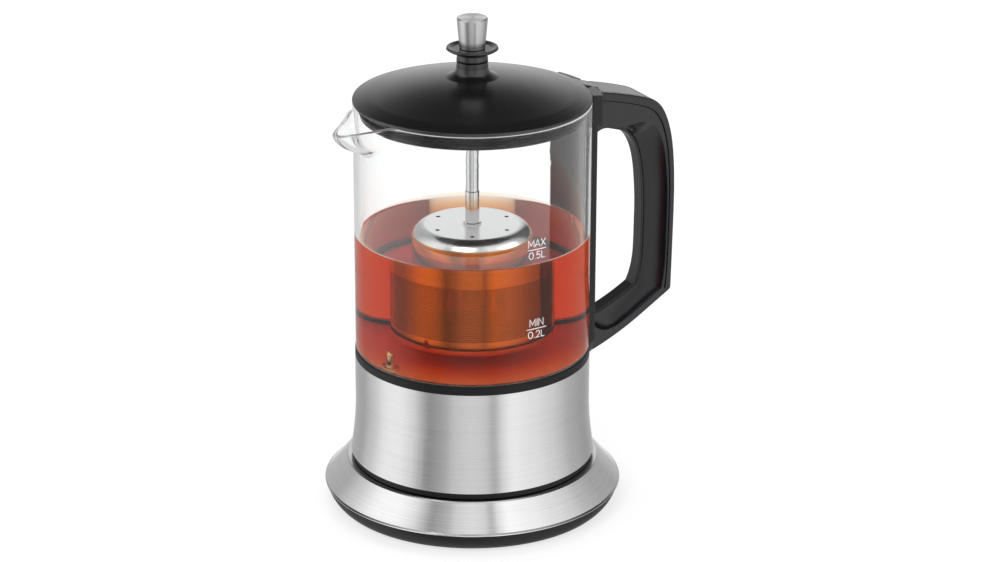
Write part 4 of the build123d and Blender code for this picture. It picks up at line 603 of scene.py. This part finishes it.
def add_ring(vertices, r, z):
    """A ring of points round the axis. Returns their indices."""
    start = len(vertices)
    vertices += [round_point(r, 2 * pi * i / ROUND, z) for i in range(ROUND)]
    return [start + i for i in range(ROUND)]


def add_band(faces, low, high, out):
    """Faces between two rings, which look out or in."""
    for i in range(ROUND):
        j = (i + 1) % ROUND
        faces.append([low[i], low[j], high[j], high[i]] if out else [low[i], high[i], high[j], low[j]])


def corner_arc(radius, corner):
    """Quarter round from the basket's floor to its wall, as (radius, height)."""
    centre = (radius - corner, BASKET_LOW + BASKET_CORNER)
    angles = [-pi / 2 + pi / 2 * i / CORNER_STEPS for i in range(CORNER_STEPS + 1)]
    return [(centre[0] + corner * cos(a), centre[1] + corner * sin(a)) for a in angles]


def sieve_cell(vertices, faces, rows, k, c, radius, out):
    """One hole of the sieve with the sheet round it. Returns the hole's six corners."""
    middle = 2 * c + 1 + k % 2
    low, high = rows[k], rows[k + 1]
    before, here, after = (middle - 1) % ROUND, middle % ROUND, (middle + 1) % ROUND
    border = [low[before], low[here], low[after], high[after], high[here], high[before]]
    start = len(vertices)
    for across, up in HOLE_SHAPE:
        angle = 2 * pi * middle / ROUND + across * SIEVE_HOLE_R / radius
        z = SIEVE_LOW + SIEVE_STEP * (k + 0.5) + up * SIEVE_HOLE_R
        vertices.append(round_point(radius, angle, z))
    hole = list(range(start, start + HOLE_SIDES))
    for i in range(HOLE_SIDES):
        j = (i + 1) % HOLE_SIDES
        face = [border[i], border[j], hole[j], hole[i]]
        faces.append(face if out else face[::-1])
    return hole


def add_skin(vertices, faces, radius, out):
    """One side of the basket's sheet: sieve, corner, floor and rim. Returns the holes and the top ring."""
    rows = [add_ring(vertices, radius, SIEVE_LOW + SIEVE_STEP * k) for k in range(SIEVE_ROWS + 1)]
    holes = [sieve_cell(vertices, faces, rows, k, c, radius, out)
             for k in range(SIEVE_ROWS) for c in range(SIEVE_COLUMNS)]
    inset = 0 if out else BASKET_WALL
    lower = [add_ring(vertices, r, z) for r, z in corner_arc(radius, BASKET_CORNER - inset)]
    centre = len(vertices)
    vertices.append((0, 0, (BASKET_LOW + inset) * MM))
    for i in range(ROUND):
        j = (i + 1) % ROUND
        faces.append([centre, lower[0][j], lower[0][i]] if out else [centre, lower[0][i], lower[0][j]])
    for low, high in zip(lower, lower[1:] + [rows[0]]):
        add_band(faces, low, high, out)
    softening = RIM_SOFTENING if out else -RIM_SOFTENING
    top = [add_ring(vertices, radius, BASKET_RIM - BAND_BELOW_RIM),
           add_ring(vertices, radius - softening, BASKET_RIM - RIM_SOFTENING)]
    for low, high in zip([rows[-1]] + top, top):
        add_band(faces, low, high, out)
    return holes, top[-1]


def sieve_mesh():
    """The basket as one closed sheet, and the ranges of its faces with painted shade: the inside and the
    holes.
    """
    vertices, faces = [], []
    outer_holes, outer_top = add_skin(vertices, faces, BASKET_R, True)
    inside = len(faces)
    inner_holes, inner_top = add_skin(vertices, faces, BASKET_R - BASKET_WALL, False)
    inside_end = len(faces)
    rim = add_ring(vertices, BASKET_R - BASKET_WALL / 2, BASKET_RIM)
    add_band(faces, outer_top, rim, True)
    add_band(faces, inner_top, rim, False)
    holes = len(faces)
    for outer, inner in zip(outer_holes, inner_holes):
        for i in range(HOLE_SIDES):
            j = (i + 1) % HOLE_SIDES
            faces.append([outer[i], outer[j], inner[j], inner[i]])
    return vertices, faces, ((inside, inside_end), (holes, len(faces)))


def add_lug(vertices, faces, turn):
    """A short pin inside the rim, which a slot of the lid takes."""
    start = len(vertices)
    along = Vector((cos(radians(turn)), sin(radians(turn)), 0))
    across = Vector((-along.y, along.x, 0))
    for reach, radius in LUG_SECTIONS:
        for i in range(LUG_SIDES):
            a = 2 * pi * i / LUG_SIDES
            point = along * reach + across * (radius * cos(a))
            height = BASKET_RIM - LUG_BELOW_RIM + radius * sin(a)
            vertices.append((point.x * MM, point.y * MM, height * MM))
    last = start + (len(LUG_SECTIONS) - 1) * LUG_SIDES
    for base in range(start, last, LUG_SIDES):
        for i in range(LUG_SIDES):
            j = (i + 1) % LUG_SIDES
            faces.append([base + i, base + LUG_SIDES + i, base + LUG_SIDES + j, base + j])
    faces.append([start + i for i in range(LUG_SIDES)])
    faces.append([last + i for i in reversed(range(LUG_SIDES))])


def add_basket():
    """The tea basket with its real sieve, in place of the CAD cup."""
    vertices, faces, shaded_faces = sieve_mesh()
    for turn in LUG_TURNS:
        add_lug(vertices, faces, turn)
    basket = add_piece("sieve_basket", vertices, faces, MATERIALS["basket_steel"], "basket", smooth=False)
    # The inside and the holes get the painted dark shade.
    basket.data.materials.append(PAINTED_SHADE_INSIDE)
    for first, last in shaded_faces:
        for polygon in basket.data.polygons[first:last]:
            polygon.material_index = 1
    basket.data.shade_smooth()
    basket.data.set_sharp_from_angle(angle=radians(BASKET_SHARP_DEG))
    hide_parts("basket")


# ---- printed level marks ----
MARK_DEG = -85.4
PRINT_R = 53.03
STROKE = 0.42
INK = 0.02
SHARPEST_MITRE = 0.45    # least cosine of half a bend that a corner is mitred to
LINE_STEPS = 16
NAME_RISE, NAME_HEIGHT = 1.0, 3.7
VOLUME_DROP, VOLUME_HEIGHT = 4.4, 3.5
# Name and volume of each mark, the height of its line, and the widths of name, line and volume.
MARKS = [
    ("MAX", "0.5L", 136.8, (9.2, 9.3, 8.6)),
    ("MIN", "0.2L", 99.8, (7.3, 10.2, 8.8)),
]
# Letters as strokes in a unit box, with each letter's width in millimetres.
RING = [(0.5 + 0.5 * cos(i * pi / 12), 0.5 + 0.5 * sin(i * pi / 12)) for i in range(24)]
LETTERS = {
    "M": (2.7, [[(0, 0), (0, 1), (0.5, 0.28), (1, 1), (1, 0)]]),
    "A": (2.6, [[(0, 0), (0.5, 1), (1, 0)], [(0.2, 0.3), (0.8, 0.3)]]),
    "X": (2.4, [[(0, 0), (1, 1)], [(0, 1), (1, 0)]]),
    "I": (0.0, [[(0, 0), (0, 1)]]),
    "N": (2.3, [[(0, 0), (0, 1), (1, 0), (1, 1)]]),
    "0": (2.2, [RING + RING[:1]]),
    "2": (1.9, [[(0.03, 0.76), (0.14, 0.92), (0.36, 1), (0.64, 1), (0.88, 0.9), (0.97, 0.72), (0.88, 0.52),
                 (0.5, 0.26), (0.0, 0.0), (1, 0)]]),
    "5": (1.9, [[(0.92, 1), (0.16, 1), (0.08, 0.55), (0.34, 0.63), (0.64, 0.62), (0.88, 0.5), (0.97, 0.31),
                 (0.88, 0.12), (0.62, 0.01), (0.34, 0.0), (0.04, 0.1)]]),
    "L": (1.7, [[(0, 1), (0, 0), (1, 0)]]),
    ".": (0.0, [[(0, -0.02), (0, 0.1)]]),
}


def ribbon_sides(path):
    """Left and right points of a stroke along a path, with mitred corners, and whether it is closed."""
    closed = path[0] == path[-1]
    points = [Vector(p) for p in (path[:-1] if closed else path)]
    count = len(points)
    sides = []
    for i, point in enumerate(points):
        before = points[i - 1] if closed or i else None
        after = points[(i + 1) % count] if closed or i < count - 1 else None
        into = (point - before).normalized() if before is not None else (after - point).normalized()
        onward = (after - point).normalized() if after is not None else into
        across = Vector((-into.y - onward.y, into.x + onward.x)).normalized()
        reach = STROKE / 2 / max(SHARPEST_MITRE, across.dot(Vector((-into.y, into.x))))
        sides.append((point + across * reach, point - across * reach))
    return sides, closed


def ribbon(path):
    """Vertices and faces of a stroke of ink, flat, in millimetres."""
    sides, closed = ribbon_sides(path)
    vertices, faces = [], []
    for left, right in sides:
        vertices += [(left.x, left.y, 0.0), (right.x, right.y, 0.0)]
        vertices += [(right.x, right.y, INK), (left.x, left.y, INK)]
    count = len(sides)
    for i in range(count if closed else count - 1):
        a, b = 4 * i, 4 * ((i + 1) % count)
        for k in range(4):
            m = (k + 1) % 4
            faces.append([a + k, a + m, b + m, b + k])
    if not closed:
        last = 4 * (count - 1)
        faces += [[3, 2, 1, 0], [last, last + 1, last + 2, last + 3]]
    return vertices, faces


def word_paths(text, width, height):
    """Stroke paths of a word, centred on x and standing on y = 0, in millimetres."""
    own = sum(LETTERS[c][0] for c in text)
    gap = (width - STROKE - own) / (len(text) - 1)
    x = (STROKE - width) / 2
    paths = []
    for c in text:
        across, strokes = LETTERS[c]
        for stroke in strokes:
            paths.append([(x + px * across, STROKE / 2 + py * (height - STROKE)) for px, py in stroke])
        x += across + gap
    return paths


def line_path(width):
    """The thin bar under a mark's name, in short steps so that it follows the glass."""
    return [(-width / 2 + width * i / LINE_STEPS, 0.0) for i in range(LINE_STEPS + 1)]


def on_glass(point, height):
    """A flat point of the print laid on the glass."""
    return round_point(PRINT_R + point[2], radians(MARK_DEG) + point[0] / PRINT_R, height + point[1])


def add_mark(name, volume, line_z, widths):
    """A level mark: its name over a line, and its volume under it."""
    paths = [(path, line_z + NAME_RISE) for path in word_paths(name, widths[0], NAME_HEIGHT)]
    paths += [(line_path(widths[1]), line_z)]
    paths += [(path, line_z - VOLUME_DROP) for path in word_paths(volume, widths[2], VOLUME_HEIGHT)]
    vertices, faces = [], []
    for path, height in paths:
        points, polygons = ribbon(path)
        start = len(vertices)
        vertices += [on_glass(p, height) for p in points]
        faces += [[start + v for v in face] for face in polygons]
    ink = MATERIALS["print_white"]
    mark = add_piece("level_mark_" + name.lower(), vertices, faces, ink, "jug", smooth=False)


# ---- the scene ----
bpy.context.scene.view_settings.view_transform = "Standard"
add_camera()
add_world()
add_floor()
for lamp_values in LAMPS:
    add_lamp(*lamp_values)
dress_nodes()
polish_rim()
add_tea()
add_basket()
for mark_values in MARKS:
    add_mark(*mark_values)
